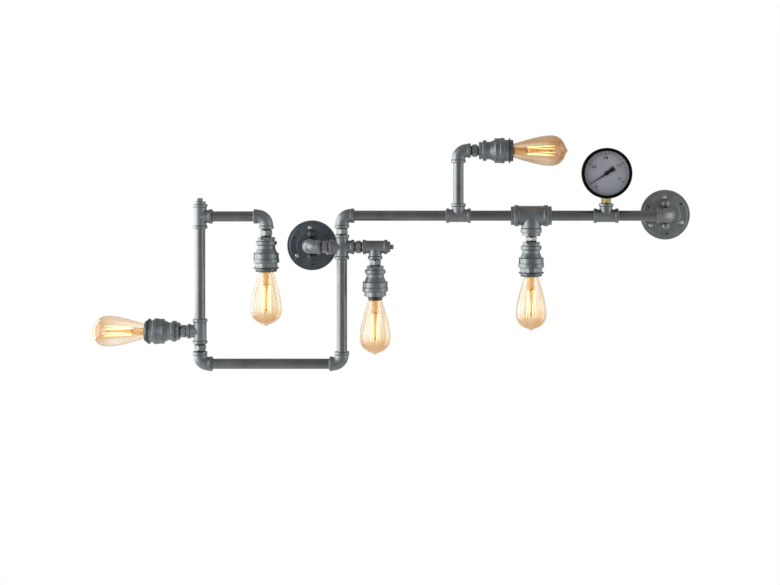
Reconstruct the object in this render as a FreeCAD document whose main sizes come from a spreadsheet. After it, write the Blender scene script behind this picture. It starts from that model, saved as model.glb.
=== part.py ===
import FreeCAD, Part
import Sketcher
import math
import os

# Industrial pipe wall light. Millimetres. X runs along the pipes, Z is up, the wall is the plane Y = 0
# and the light stands out from it towards -Y. The origin is the centre of the left flange on the wall.

driving = {
    # half inch pipe and malleable fittings
    "pipe_od": 21.3,
    "pipe_bore": 16.0,
    "thread_gap": 0.05,
    "seat_gap": 0.3,
    "fitting_reach": 25.5,
    "socket_depth": 12.0,
    "bead_od": 30.2,
    "bead_width": 6.5,
    "bead_round": 1.5,
    "neck_round": 1.0,
    "mouth_bevel": 0.6,
    "tee_body_od": 26.5,
    "elbow_body_od": 27.8,
    # one inch tee in the middle of the top run
    "big_reach": 34.9,
    "big_socket_depth": 14.0,
    "big_thread_od": 33.2,
    "big_bead_od": 43.7,
    "big_bead_width": 9.0,
    "big_body_od": 40.5,
    "big_bore": 28.0,
    "tee_bushing_flats": 36.0,
    "tee_bushing_corners": 38.4,
    "tee_bushing_head": 7.0,
    # hexagonal nipples and square plugs
    "nipple_flats": 22.6,
    "nipple_hexagon": 11.0,
    "bright_hexagon": 7.0,
    "hexagon_bevel": 2.0,
    "plug_flange_od": 22.7,
    "plug_flange_length": 5.6,
    "plug_square": 9.2,
    "plug_square_length": 6.6,
    # what shows of each pipe and nipple between its fittings
    "span_cross_nipple": 18.8,
    "span_plugged_tee": 17.5,
    "span_above_cross": 13.5,
    "span_below_side_tee": 16.1,
    "span_arm": 85.6,
    "span_left_upright": 185.7,
    "span_bottom": 241.5,
    "span_right_upright": 189.8,
    "span_top_left": 189.2,
    "span_riser": 83.1,
    "span_top_middle": 82.6,
    "span_top_right": 86.9,
    "span_wall_end": 78.7,
    "span_lamp_1": 17.1,
    "span_lamp_2": 16.5,
    "span_lamp_3": 12.0,
    "span_lamp_4": 13.2,
    "span_lamp_5": 15.5,
    # wall flanges, their brackets and fasteners
    "standoff": 66.0,
    "flange_od": 105.0,
    "flange_rim": 4.5,
    "flange_step_od": 93.0,
    "flange_web": 6.5,
    "flange_ring_od": 63.0,
    "flange_ring": 8.5,
    "flange_boss_od": 29.6,
    "flange_boss": 20.0,
    "bracket_od": 88.0,
    "bracket_sheet": 3.0,
    "screw_circle": 74.0,
    "screw_od": 5.0,
    "screw_head_od": 9.0,
    "screw_head": 2.6,
    "screw_head_round": 1.5,
    "screw_slot": 1.0,
    "screw_slot_floor": 1.5,
    "wall_hole_circle": 80.0,
    "wall_hole_od": 5.5,
    "stud_circle": 47.4,
    "stud_od": 5.0,
    "dome_nut_od": 16.4,
    "dome_nut_flats": 15.1,
    "dome_nut_dome_od": 14.1,
    "dome_nut_hexagon": 4.0,
    "dome_nut_height": 9.5,
    # lamp sockets, from the hexagon bushing to the knurled ring
    "bushing_flats": 32.0,
    "bushing_head": 6.2,
    "bushing_gap": 1.6,
    "bushing_thread_length": 9.5,
    "bell_length": 45.5,
    "bell_round": 2.0,
    "bell_thread_od": 33.7,
    "bell_top_bead_od": 43.0,
    "bell_top_bead": 8.5,
    "bell_neck_od": 36.5,
    "bell_neck": 8.7,
    "bell_shoulder": 7.2,
    "bell_body_od": 48.5,
    "bell_mouth_bead_od": 53.0,
    "bell_mouth_bead": 9.5,
    "bell_wall": 3.2,
    "bell_ribs": 2,
    "bell_rib_width": 4.0,
    "bell_rib_height": 1.2,
    "mouth_bushing_od": 46.5,
    "mouth_bushing_flats": 44.5,
    "mouth_bushing_head": 8.9,
    "mouth_bushing_thread_length": 8.0,
    "mouth_bushing_thread_od": 41.4,
    "holder_od": 35.0,
    "holder_flange_od": 52.0,
    "holder_flange": 2.5,
    "holder_depth": 29.0,
    "holder_floor": 4.0,
    "holder_nose": 4.3,
    "holder_flare": 2.6,
    "plain_nose_od": 29.4,
    "plain_nose": 6.0,
    "ring_od": 46.0,
    "ring_mouth_od": 42.0,
    "ring_length": 6.4,
    "ring_lip": 1.6,
    # screw bulbs
    "cap_od": 26.2,
    "cap_length": 27.0,
    "cap_pitch": 3.629,
    "cap_thread_depth": 1.0,
    "cap_sheet": 0.4,
    "cap_turns": 4,
    "cap_foot_od": 21.8,
    "contact_od": 9.0,
    "contact_tip_od": 7.2,
    "contact_height": 1.2,
    "insulator_tip_od": 10.8,
    "insulator_height": 4.0,
    "shell_gap": 0.2,
    "shell_sheet": 0.5,
    "shell_floor": 3.0,
    "centre_contact_od": 12.6,
    "centre_contact_height": 3.6,
    "tip_gap": 0.3,
    "glass_od": 64.0,
    "glass_neck_od": 32.0,
    "glass_length": 115.0,
    "glass_neck_length": 8.0,
    "glass_wall": 0.8,
    "glass_belly_share": 0.42,
    "stem_tube_od": 13.0,
    "stem_rod_od": 3.2,
    "stem_length": 84.0,
    "cage_start": 32.0,
    "cage_top_margin": 4.8,
    "cage_od": 17.0,
    "cage_top_od": 21.0,
    "cage_wires": 8,
    "cage_wire_od": 0.7,
    # pressure gauge
    "connector_flats": 20.0,
    "connector_hexagon": 12.4,
    "gauge_case_od": 98.0,
    "gauge_case_depth": 36.5,
    "gauge_sheet": 1.5,
    "gauge_case_round": 4.5,
    "gauge_stem_od": 10.0,
    "gauge_stem_depth": 16.0,
    "gauge_stem_reach": 8.0,
    "gauge_window": 2.5,
    "gauge_ring_od": 104.0,
    "gauge_ring_opening": 91.0,
    "gauge_ring_skirt": 8.0,
    "gauge_ring_lip": 2.6,
    "dial_depth": 30.0,
    "dial_sheet": 0.8,
    "needle_lift": 2.0,
    "needle_length": 41.0,
    "needle_tail": 18.5,
    "needle_root_width": 3.6,
    "needle_tail_width": 10.0,
    "needle_tip_width": 0.5,
    "needle_sheet": 0.8,
    "needle_hub_od": 9.0,
    "needle_zero": 214.0,
    "needle_sweep": 242.0,
    "tube_ring_od": 72.0,
    "tube_od": 6.0,
    "tube_arc": 245.0,
    "tube_end": 160.0,
    "tube_tip": 8.4,
    "socket_block": 14.0,
    "movement_back": 16.0,
    "movement_front": 25.0,
    "movement_sheet": 1.2,
    "movement_width": 15.0,
    "movement_margin": 9.0,
    "post_od": 3.0,
    "post_inset": 2.2,
    "gear_module": 0.4,
    "pinion_teeth": 12,
    "sector_teeth": 84,
    "sector_depth": 20.2,
    "gear_backlash": 0.2,
    "staff_od": 2.4,
    # wiring
    "cable_od": 5.0,
    "splice_od": 10.0,
}

doc = FreeCAD.newDocument("pipe_wall_light")
sheet = doc.addObject("Spreadsheet::Sheet", "Sizes")
for row, (name, number) in enumerate(driving.items(), start=1):
    sheet.set("A%d" % row, name)
    sheet.set("B%d" % row, str(number))
    sheet.setAlias("B%d" % row, name)
doc.recompute()


# ---------------------------------------------------------------- sizes that carry their expression


class Size:
    """A number together with the sheet expression that gives it."""

    def __init__(self, value, text):
        self.value = value
        self.text = text

    def __add__(self, other):
        return joined(self, "+", other)

    def __radd__(self, other):
        return joined(other, "+", self)

    def __sub__(self, other):
        return joined(self, "-", other)

    def __rsub__(self, other):
        return joined(other, "-", self)

    def __mul__(self, other):
        return joined(self, "*", other)

    def __rmul__(self, other):
        return joined(other, "*", self)

    def __truediv__(self, other):
        return joined(self, "/", other)

    def __neg__(self):
        return joined(0, "-", self)


def number_of(x):
    return x.value if isinstance(x, Size) else float(x)


def text_of(x):
    return x.text if isinstance(x, Size) else "%.9g" % x


def joined(a, sign, b):
    p = number_of(a)
    q = number_of(b)
    if sign == "+":
        value = p + q
    elif sign == "-":
        value = p - q
    elif sign == "*":
        value = p * q
    else:
        value = p / q
    return Size(value, "(%s %s %s)" % (text_of(a), sign, text_of(b)))


def root(a):
    return Size(math.sqrt(a.value), "sqrt(%s)" % a.text)


def size(name):
    return Size(float(driving[name]), "Sizes." + name)


def give(thing, path, x):
    """Bind one property of a document object to a size."""
    thing.setExpression(path, text_of(x))


# ---------------------------------------------------------------- sketches and features


def origin_plane(body, role):
    return next(f for f in body.Origin.OriginFeatures if f.Role == role)


def new_body(name):
    return doc.addObject("PartDesign::Body", name)


def new_sketch(body, name, role, offset=None):
    sketch = body.newObject("Sketcher::SketchObject", body.Name + "_" + name)
    sketch.AttachmentSupport = [(origin_plane(body, role), "")]
    sketch.MapMode = "FlatFace"
    if offset is not None:
        give(sketch, "AttachmentOffset.Base.z", offset)
    return sketch


def arc_edge(start, end, radius):
    """An arc of under half a circle; a positive radius turns left. Returns it and its ends' numbers."""
    chord = end - start
    half = chord.Length / 2
    rise = math.sqrt(max(radius * radius - half * half, 0))
    left = FreeCAD.Vector(-chord.y, chord.x, 0) / chord.Length
    centre = (start + end) / 2 + left * math.copysign(rise, radius)
    first, last = (start, end) if radius > 0 else (end, start)
    low = math.atan2(first.y - centre.y, first.x - centre.x)
    high = math.atan2(last.y - centre.y, last.x - centre.x)
    circle = Part.Circle(centre, FreeCAD.Vector(0, 0, 1), abs(radius))
    ends = (1, 2) if radius > 0 else (2, 1)
    return Part.ArcOfCircle(circle, low, high), ends


def draw_loop(sketch, points):
    """Draw a closed outline. A point is (x, y), or (x, y, radius) where an arc leads to the next one."""
    base = len(sketch.Geometry)
    count = len(points)
    corners = [FreeCAD.Vector(number_of(p[0]), number_of(p[1]), 0) for p in points]
    ends = []
    for i, point in enumerate(points):
        start = corners[i]
        end = corners[(i + 1) % count]
        if len(point) == 3:
            edge, numbers = arc_edge(start, end, number_of(point[2]))
        else:
            edge, numbers = Part.LineSegment(start, end), (1, 2)
        sketch.addGeometry(edge, False)
        ends.append(numbers)
    for i in range(count):
        after = (i + 1) % count
        met = (base + i, ends[i][1], base + after, ends[after][0])
        sketch.addConstraint(Sketcher.Constraint("Coincident", *met))
    for i, point in enumerate(points):
        for kind, coordinate, axis in (("DistanceX", point[0], -2), ("DistanceY", point[1], -1)):
            if isinstance(coordinate, Size):
                held = Sketcher.Constraint(kind, -1, 1, base + i, ends[i][0], coordinate.value)
                tie(sketch, sketch.addConstraint(held), "%s%d" % (kind, base + i), coordinate)
            elif coordinate == 0:
                sketch.addConstraint(Sketcher.Constraint("PointOnObject", base + i, ends[i][0], axis))
            else:
                sketch.addConstraint(Sketcher.Constraint(kind, -1, 1, base + i, ends[i][0], coordinate))
        if len(point) == 3:
            radius = point[2] if number_of(point[2]) > 0 else -point[2]
            held = Sketcher.Constraint("Radius", base + i, number_of(radius))
            number = sketch.addConstraint(held)
            if isinstance(radius, Size):
                tie(sketch, number, "Radius%d" % (base + i), radius)


def tie(sketch, number, name, x):
    sketch.renameConstraint(number, name)
    give(sketch, "Constraints." + name, x)


def draw_circle(sketch, x, y, diameter):
    """Draw a circle whose centre and diameter are tied to sizes."""
    base = len(sketch.Geometry)
    centre = FreeCAD.Vector(number_of(x), number_of(y), 0)
    sketch.addGeometry(Part.Circle(centre, FreeCAD.Vector(0, 0, 1), number_of(diameter) / 2), False)
    for kind, coordinate, axis in (("DistanceX", x, -2), ("DistanceY", y, -1)):
        if isinstance(coordinate, Size):
            held = Sketcher.Constraint(kind, -1, 1, base, 3, coordinate.value)
            tie(sketch, sketch.addConstraint(held), "%s%d" % (kind, base), coordinate)
        else:
            sketch.addConstraint(Sketcher.Constraint("PointOnObject", base, 3, axis))
    held = Sketcher.Constraint("Diameter", base, number_of(diameter))
    tie(sketch, sketch.addConstraint(held), "Diameter%d" % base, diameter)


def swapped(points):
    """The same outline with its two coordinates exchanged, for a sketch turned about its upright axis."""
    return [(p[1], p[0]) if len(p) == 2 else (p[1], p[0], -p[2]) for p in points]


def mirrored(points):
    """The outline mirrored to negative x and run backwards."""
    out = []
    for i in reversed(range(len(points))):
        before = points[i - 1] if i else ()
        turn = (before[2],) if len(before) == 3 else ()
        out.append((-points[i][0], points[i][1]) + turn)
    return out


def feature(body, kind, sketch, name):
    made = body.newObject("PartDesign::" + kind, body.Name + "_" + name)
    made.Profile = sketch
    return made


def turned(body, name, loops, axis="V_Axis", kind="Revolution", angle=360):
    """Turn outlines about an axis of the XZ plane: a Revolution adds, a Groove cuts."""
    sketch = new_sketch(body, name + "_outline", "XZ_Plane")
    for loop in loops:
        draw_loop(sketch, loop)
    made = feature(body, kind, sketch, name)
    made.ReferenceAxis = (sketch, [axis])
    made.Angle = angle
    return made


def padded(body, name, loops, length, offset=None, kind="Pad", circles=()):
    """Raise outlines drawn on the XY plane by a length, or cut them down through it."""
    sketch = new_sketch(body, name + "_outline", "XY_Plane", offset)
    for loop in loops:
        draw_loop(sketch, loop)
    for x, y, diameter in circles:
        draw_circle(sketch, x, y, diameter)
    made = feature(body, kind, sketch, name)
    give(made, "Length", length)
    if kind == "Pocket":
        made.Reversed = True
    return made


def hexagon(flats, turn_deg=0):
    """A hexagon's corners, from its width across the flats."""
    corners = []
    for k in range(6):
        angle = math.radians(60 * k + turn_deg)
        corners.append((flats * (math.cos(angle) / math.sqrt(3)), flats * (math.sin(angle) / math.sqrt(3))))
    return corners


def bevel_corners(body, name, flats, low, high, bevel):
    """Turn the corners of a hexagonal head down at both ends, by the bevel at the very corner."""
    inner = flats / 2
    outer = flats * (2 / math.sqrt(3)) - inner
    drop = bevel * 2
    top = [(inner, high + 1), (inner, high), (outer, high - drop), (outer, high + 1)]
    bottom = [(inner, low - 1), (inner, low), (outer, low + drop), (outer, low - 1)]
    return turned(body, name, [top, bottom], kind="Groove")


def polar_pattern(body, made, name, count):
    pattern = body.newObject("PartDesign::PolarPattern", body.Name + "_" + name)
    pattern.Originals = [made]
    pattern.Axis = (new_sketch(body, name + "_axis", "XY_Plane"), ["N_Axis"])
    pattern.Angle = 360
    give(pattern, "Occurrences", count)
    body.Tip = pattern
    return pattern


# ---------------------------------------------------------------- placing

towards_room = FreeCAD.Rotation(FreeCAD.Vector(1, 0, 0), 90)
gap = size("thread_gap")
seat = size("seat_gap")
pipe_r = size("pipe_od") / 2
socket_r = pipe_r + gap
passage_r = size("pipe_bore") / 2
engaged = size("socket_depth") - seat
reach = size("fitting_reach")
bend_r = reach - size("bead_width") - size("neck_round")


def facing(out, side):
    """The rotation that takes local +Z to out and local +X to side."""
    z = FreeCAD.Vector(*out)
    x = FreeCAD.Vector(*side)
    return FreeCAD.Rotation(x, z.cross(x), z, "ZXY")


def put(thing, place, rotation=None):
    """Give an object its Placement, with its position tied to the sizes."""
    base = FreeCAD.Vector(*[number_of(p) for p in place])
    thing.Placement = FreeCAD.Placement(base, rotation or FreeCAD.Rotation())
    for letter, p in zip("xyz", place):
        if isinstance(p, Size):
            give(thing, "Placement.Base." + letter, p)
    return thing


nodes = {}


def add_node(name, thing):
    thing.Label = name
    nodes[name] = thing
    return thing


def copies(name, stands):
    """One node made of placed copies: stands is a list of (master, place, rotation)."""
    links = []
    for number, (master, place, rotation) in enumerate(stands, start=1):
        link = doc.addObject("App::Link", "%s_copy_%d" % (name, number))
        link.LinkedObject = master
        links.append(put(link, place, rotation))
    group = doc.addObject("Part::Compound", name)
    group.Links = links
    return add_node(name, group)


# ---------------------------------------------------------------- pipes and fittings


def arm_outline(end, body_od, bead_od, bead, start=0):
    """Half of a fitting's outline along its axis: plain body, then the rounded bead at its mouth."""
    body_r = body_od / 2
    bead_r = bead_od / 2
    soft = size("bead_round")
    neck = size("neck_round")
    inner = end - bead
    return [
        (start, body_r),
        (inner - neck, body_r, neck),
        (inner, body_r + neck),
        (inner, bead_r - soft, -soft),
        (inner + soft, bead_r),
        (end - soft, bead_r, -soft),
        (end, bead_r - soft),
        (end, 0),
    ]


def bore_outline(end, depth, mouth_r, bore_r, start=0):
    """Half of a fitting's bore: passage, socket and the bevel at its mouth."""
    bevel = size("mouth_bevel")
    return [
        (start, bore_r),
        (end - depth, bore_r),
        (end - depth, mouth_r),
        (end - bevel, mouth_r),
        (end + 1, mouth_r + bevel + 1),
        (end + 1, 0),
    ]


def branched_fitting(name, arms_along_z, half, bore):
    """A tee or a cross: a straight run along X, and one or two arms along Z."""
    body = new_body(name)
    turned(body, "run", [mirrored(half)[:-1] + half[1:]], "H_Axis")
    loop = [(0, 0)] + swapped(half)
    bore_loop = [(0, 0)] + swapped(bore)
    turned(body, "arm", [loop])
    if arms_along_z == 2:
        flipped = [(p[0], -p[1]) if len(p) == 2 else (p[0], -p[1], -p[2]) for p in loop]
        turned(body, "lower_arm", [flipped])
    turned(body, "run_bore", [mirrored(bore)[:-1] + bore[1:]], "H_Axis", "Groove")
    turned(body, "arm_bore", [bore_loop], kind="Groove")
    if arms_along_z == 2:
        flipped = [(p[0], -p[1]) for p in bore_loop]
        turned(body, "lower_arm_bore", [flipped], kind="Groove")
    return body


def half_inch_arm(body_od, start=0):
    return arm_outline(reach, size(body_od), size("bead_od"), size("bead_width"), start)


def half_inch_bore(start=0):
    return bore_outline(reach, size("socket_depth"), socket_r, passage_r, start)


def bend_solid(body, name, diameter, kind):
    """A quarter bend from +X to +Z, its section a circle on the plane x = bend radius."""
    sketch = new_sketch(body, name + "_section", "YZ_Plane", bend_r)
    draw_circle(sketch, 0, 0, diameter)
    low_end = FreeCAD.Vector(-reach.value, bend_r.value, 0)
    high_end = FreeCAD.Vector(reach.value, bend_r.value, 0)
    number = sketch.addGeometry(Part.LineSegment(low_end, high_end), True)
    sketch.addConstraint(Sketcher.Constraint("Horizontal", number))
    held = Sketcher.Constraint("DistanceY", -1, 1, number, 1, bend_r.value)
    tie(sketch, sketch.addConstraint(held), "BendAxis", bend_r)
    made = feature(body, kind, sketch, name)
    made.ReferenceAxis = (sketch, ["Axis0"])
    made.Angle = 90
    return made


def elbow_fitting():
    """A 90 degree elbow that opens towards +X and +Z."""
    body = new_body("elbow_casting")
    bend_solid(body, "bend", size("elbow_body_od"), "Revolution")
    loop = [(bend_r, 0)] + half_inch_arm("elbow_body_od")[1:]
    turned(body, "side_collar", [loop], "H_Axis")
    turned(body, "top_collar", [swapped(loop)])
    bend_solid(body, "passage", size("pipe_bore"), "Groove")
    mouth = half_inch_bore(reach - size("socket_depth"))[2:]
    mouth_loop = [(reach - size("socket_depth"), 0)] + mouth
    turned(body, "side_socket", [mouth_loop], "H_Axis", "Groove")
    turned(body, "top_socket", [swapped(mouth_loop)], kind="Groove")
    return body


def pipe_length(name, span):
    """A pipe along +Z whose visible span starts at z = 0 and which runs into both sockets."""
    body = new_body(name)
    bevel = size("mouth_bevel")
    low = -engaged
    high = span + engaged
    loop = [
        (passage_r, low),
        (pipe_r - bevel, low),
        (pipe_r, low + bevel),
        (pipe_r, high - bevel),
        (pipe_r - bevel, high),
        (passage_r, high),
    ]
    turned(body, "wall", [loop])
    return body


def hex_nipple(name, span, hexagon_length):
    """A nipple along +Z with its hexagon in the middle of the visible span."""
    body = new_body(name)
    flats = size("nipple_flats")
    low = (span - hexagon_length) / 2
    padded(body, "hexagon", [hexagon(flats)], hexagon_length, low)
    bevel_corners(body, "hexagon_bevel", flats, low, low + hexagon_length, size("hexagon_bevel"))
    low = -engaged
    high = span + engaged
    turned(body, "threads", [[(0, low), (pipe_r, low), (pipe_r, high), (0, high)]])
    bore = [(0, low - 1), (passage_r, low - 1), (passage_r, high + 1), (0, high + 1)]
    turned(body, "bore", [bore], kind="Groove")
    return body


def square_plug():
    """A plug along +Z: its thread goes down from z = 0, its flange and square head stand above."""
    body = new_body("plug_turning")
    flange_r = size("plug_flange_od") / 2
    flange = size("plug_flange_length")
    half_square = size("plug_square") / 2
    head = flange + size("plug_square_length")
    soft = size("bead_round")
    loop = [
        (0, -engaged),
        (pipe_r, -engaged),
        (pipe_r, 0),
        (flange_r, seat),
        (flange_r, flange - soft, soft),
        (flange_r - soft, flange),
        (0, flange),
    ]
    turned(body, "thread", [loop])
    square = [(half_square * x, half_square * y) for x, y in ((1, 1), (-1, 1), (-1, -1), (1, -1))]
    padded(body, "square", [square], head)
    return body


def tee_bushing():
    """A reducing bushing along +Z for the large tee: thread below z = 0, hexagonal head above."""
    body = new_body("tee_bushing_turning")
    flats = size("tee_bushing_flats")
    head = size("tee_bushing_head")
    deep = size("big_socket_depth") - seat
    thread_r = size("big_thread_od") / 2
    padded(body, "head", [hexagon(flats)], head)
    outer = size("tee_bushing_corners") / 2
    trim = [(outer, -head), (outer, head * 2), (flats, head * 2), (flats, -head)]
    turned(body, "corners", [trim], kind="Groove")
    turned(body, "thread", [[(0, -deep), (thread_r, -deep), (thread_r, 0), (0, 0)]])
    mouth = bore_outline(head, size("socket_depth"), socket_r, passage_r, -reach)
    turned(body, "bore", [swapped([(-reach, 0)] + mouth)], kind="Groove")
    return body


tee_casting = branched_fitting("tee_casting", 1, half_inch_arm("tee_body_od"), half_inch_bore())
cross_casting = branched_fitting("cross_casting", 2, half_inch_arm("tee_body_od"), half_inch_bore())
big_arm = arm_outline(size("big_reach"), size("big_body_od"), size("big_bead_od"), size("big_bead_width"))
big_thread_r = size("big_thread_od") / 2 + gap
big_hole = bore_outline(size("big_reach"), size("big_socket_depth"), big_thread_r, size("big_bore") / 2)
big_tee_casting = branched_fitting("big_tee_casting", 1, big_arm, big_hole)
elbow_casting = elbow_fitting()
plug_turning = square_plug()
tee_bushing_turning = tee_bushing()

# Where the fittings' axes meet, worked out along the runs.
y_pipes = -size("standoff")
x_cross = 2 * reach + size("span_cross_nipple")
x_plugged = x_cross + 2 * reach + size("span_plugged_tee")
z_top = 2 * reach + size("span_above_cross")
x_riser = x_cross + 2 * reach + size("span_top_left")
z_riser = z_top + 2 * reach + size("span_riser")
big_end = size("big_reach") + size("tee_bushing_head")
x_big = x_riser + reach + size("span_top_middle") + big_end
x_gauge = x_big + big_end + size("span_top_right") + reach
x_wall_end = x_gauge + 2 * reach + size("span_wall_end")
z_bottom = -(2 * reach + size("span_right_upright"))
x_left = x_cross - 2 * reach - size("span_bottom")
z_side = z_bottom + 2 * reach + size("span_below_side_tee")
z_arm = z_side + 2 * reach + size("span_left_upright")
x_arm = x_left + 2 * reach + size("span_arm")

left, right, up, down = (-1, 0, 0), (1, 0, 0), (0, 0, 1), (0, 0, -1)
to_wall = (0, 1, 0)
to_room = (0, -1, 0)

copies("cross_fitting", [(cross_casting, (x_cross, y_pipes, 0), facing(up, right))])
copies("left_top_tee", [(tee_casting, (x_left, y_pipes, z_arm), facing(right, down))])
copies("left_side_tee", [(tee_casting, (x_left, y_pipes, z_side), facing(left, up))])
copies("plugged_lamp_tee", [(tee_casting, (x_plugged, y_pipes, 0), facing(down, right))])
copies("riser_tee", [(tee_casting, (x_riser, y_pipes, z_top), facing(up, right))])
copies("gauge_tee", [(tee_casting, (x_gauge, y_pipes, z_top), facing(up, right))])
copies("centre_large_tee", [(big_tee_casting, (x_big, y_pipes, z_top), facing(down, right))])
copies("left_arm_elbow", [(elbow_casting, (x_arm, y_pipes, z_arm), facing(left, down))])
copies("upper_elbow", [(elbow_casting, (x_cross, y_pipes, z_top), facing(down, right))])
copies("riser_elbow", [(elbow_casting, (x_riser, y_pipes, z_riser), facing(down, right))])
lower_left = (elbow_casting, (x_left, y_pipes, z_bottom), facing(up, right))
lower_right = (elbow_casting, (x_cross, y_pipes, z_bottom), facing(up, left))
copies("lower_elbows", [lower_left, lower_right])
left_end = (elbow_casting, (0, y_pipes, 0), facing(to_wall, right))
right_end = (elbow_casting, (x_wall_end, y_pipes, z_top), facing(to_wall, left))
copies("wall_elbows", [left_end, right_end])
plug_top = (plug_turning, (x_left, y_pipes, z_arm + reach), facing(up, right))
plug_side = (plug_turning, (x_plugged + reach, y_pipes, 0), facing(right, up))
copies("square_plugs", [plug_top, plug_side])


def run_of_pipe(name, span, place, out):
    """A pipe and where it lies: place is the face of the fitting that it starts from."""
    side = up if out in (left, right) else right
    return (pipe_length(name + "_pipe", size(span)), place, facing(out, side))


copies("short_pipes", [
    run_of_pipe("arm", "span_arm", (x_left + reach, y_pipes, z_arm), right),
    run_of_pipe("riser", "span_riser", (x_riser, y_pipes, z_top + reach), up),
    run_of_pipe("top_middle", "span_top_middle", (x_riser + reach, y_pipes, z_top), right),
    run_of_pipe("top_right", "span_top_right", (x_big + big_end, y_pipes, z_top), right),
    run_of_pipe("wall_end", "span_wall_end", (x_gauge + reach, y_pipes, z_top), right),
])
copies("long_pipes", [
    run_of_pipe("left_upright", "span_left_upright", (x_left, y_pipes, z_side + reach), up),
    run_of_pipe("right_upright", "span_right_upright", (x_cross, y_pipes, z_bottom + reach), up),
    run_of_pipe("top_left", "span_top_left", (x_cross + reach, y_pipes, z_top), right),
])
copies("bottom_pipe", [run_of_pipe("bottom", "span_bottom", (x_left + reach, y_pipes, z_bottom), right)])

# Each lamp hangs or stands on one fitting: its place is that fitting's mouth.
z_big_mouth = z_top - size("big_reach") - size("tee_bushing_head")
lamps = {
    1: {"mouth": (x_arm, y_pipes, z_arm - reach), "out": down, "span": size("span_lamp_1")},
    2: {"mouth": (x_riser + reach, y_pipes, z_riser), "out": right, "span": size("span_lamp_2")},
    3: {"mouth": (x_big, y_pipes, z_big_mouth), "out": down, "span": size("span_lamp_3")},
    4: {"mouth": (x_plugged, y_pipes, -reach), "out": down, "span": size("span_lamp_4")},
    5: {"mouth": (x_left - reach, y_pipes, z_side), "out": left, "span": size("span_lamp_5")},
}


def moved(place, out, distance):
    """A place shifted along one of the main directions."""
    return tuple(p if step == 0 else p + step * distance for p, step in zip(place, out))


def nipple_stand(name, span, mouth, out, hexagon_name="nipple_hexagon"):
    side = up if out in (left, right) else to_room
    return (hex_nipple(name, span, size(hexagon_name)), mouth, facing(out, side))


nipple_list = [
    nipple_stand("cross_nipple", size("span_cross_nipple"), (reach, y_pipes, 0), right),
    nipple_stand("plugged_nipple", size("span_plugged_tee"), (x_cross + reach, y_pipes, 0), right),
    nipple_stand("upper_nipple", size("span_above_cross"), (x_cross, y_pipes, reach), up),
    nipple_stand("side_nipple", size("span_below_side_tee"), (x_left, y_pipes, z_bottom + reach), up),
]
for number, lamp in lamps.items():
    kind = "bright_hexagon" if number == 3 else "nipple_hexagon"
    stand = nipple_stand("lamp_nipple_%d" % number, lamp["span"], lamp["mouth"], lamp["out"], kind)
    nipple_list.append(stand)
    lamp["place"] = moved(lamp["mouth"], lamp["out"], lamp["span"])
    lamp["turn"] = facing(lamp["out"], up if lamp["out"] in (left, right) else right)
copies("hex_nipples", nipple_list)

# ---------------------------------------------------------------- wall ends


screw_angles = (95, 215, 335)
wall_hole_angles = (35, 155, 275)
stud_angles = (90, 270)


def wall_flange():
    """A round cast flange along +Z from the wall, hollow behind, with a threaded boss."""
    body = new_body("flange_casting")
    rim_r = size("flange_od") / 2
    step_r = size("flange_step_od") / 2
    ring_r = size("flange_ring_od") / 2
    boss_r = size("flange_boss_od") / 2
    rim = size("flange_rim")
    web = size("flange_web")
    ring = size("flange_ring")
    boss = size("flange_boss")
    recess_r = size("bracket_od") / 2 + seat
    recess = size("bracket_sheet") + seat
    soft = size("bead_round")
    neck = size("neck_round")
    outline = [
        (0, recess),
        (recess_r, recess),
        (recess_r, 0),
        (rim_r, 0),
        (rim_r, rim - soft, soft),
        (rim_r - soft, rim),
        (step_r + neck, rim),
        (step_r, web - neck * 0.5),
        (step_r - neck, web),
        (ring_r + neck, web),
        (ring_r, ring - neck * 0.5),
        (ring_r - neck, ring),
        (boss_r + neck, ring, -neck),
        (boss_r, ring + neck),
        (boss_r, boss - soft, soft),
        (boss_r - soft, boss),
        (0, boss),
    ]
    turned(body, "casting", [outline])
    bore = bore_outline(boss, size("socket_depth"), socket_r, passage_r, -reach)
    turned(body, "bore", [swapped([(-reach, 0)] + bore)], kind="Groove")
    holes = wall_hole_places() + screw_places(4 * gap) + stud_places(4 * gap)
    padded(body, "holes", [], boss, kind="Pocket", circles=holes)
    return body


def around(circle, angles, diameter):
    """Circles of one diameter at angles around a pitch circle."""
    out = []
    for angle in angles:
        turn = math.radians(angle)
        x = circle / 2 * round(math.cos(turn), 9)
        y = circle / 2 * round(math.sin(turn), 9)
        out.append((x, y, diameter))
    return out


def wall_hole_places():
    return around(size("wall_hole_circle"), wall_hole_angles, size("wall_hole_od"))


def screw_places(room):
    """The pan screws' places; room is what the hole is wider than the screw."""
    return around(size("screw_circle"), screw_angles, size("screw_od") + room)


def stud_places(room):
    return around(size("stud_circle"), stud_angles, size("stud_od") + room)


def wall_bracket():
    """The sheet disc behind a flange, with two studs for the dome nuts and tapped holes for the screws."""
    body = new_body("bracket_sheet_disc")
    sheet_metal = size("bracket_sheet")
    padded(body, "disc", [], sheet_metal, circles=[(0, 0, size("bracket_od"))])
    stud_end = size("flange_ring") + size("dome_nut_hexagon")
    padded(body, "studs", [], stud_end, circles=stud_places(0))
    holes = [(0, 0, size("pipe_od"))] + wall_hole_places() + screw_places(2 * gap)
    padded(body, "holes", [], sheet_metal, kind="Pocket", circles=holes)
    return body


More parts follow.
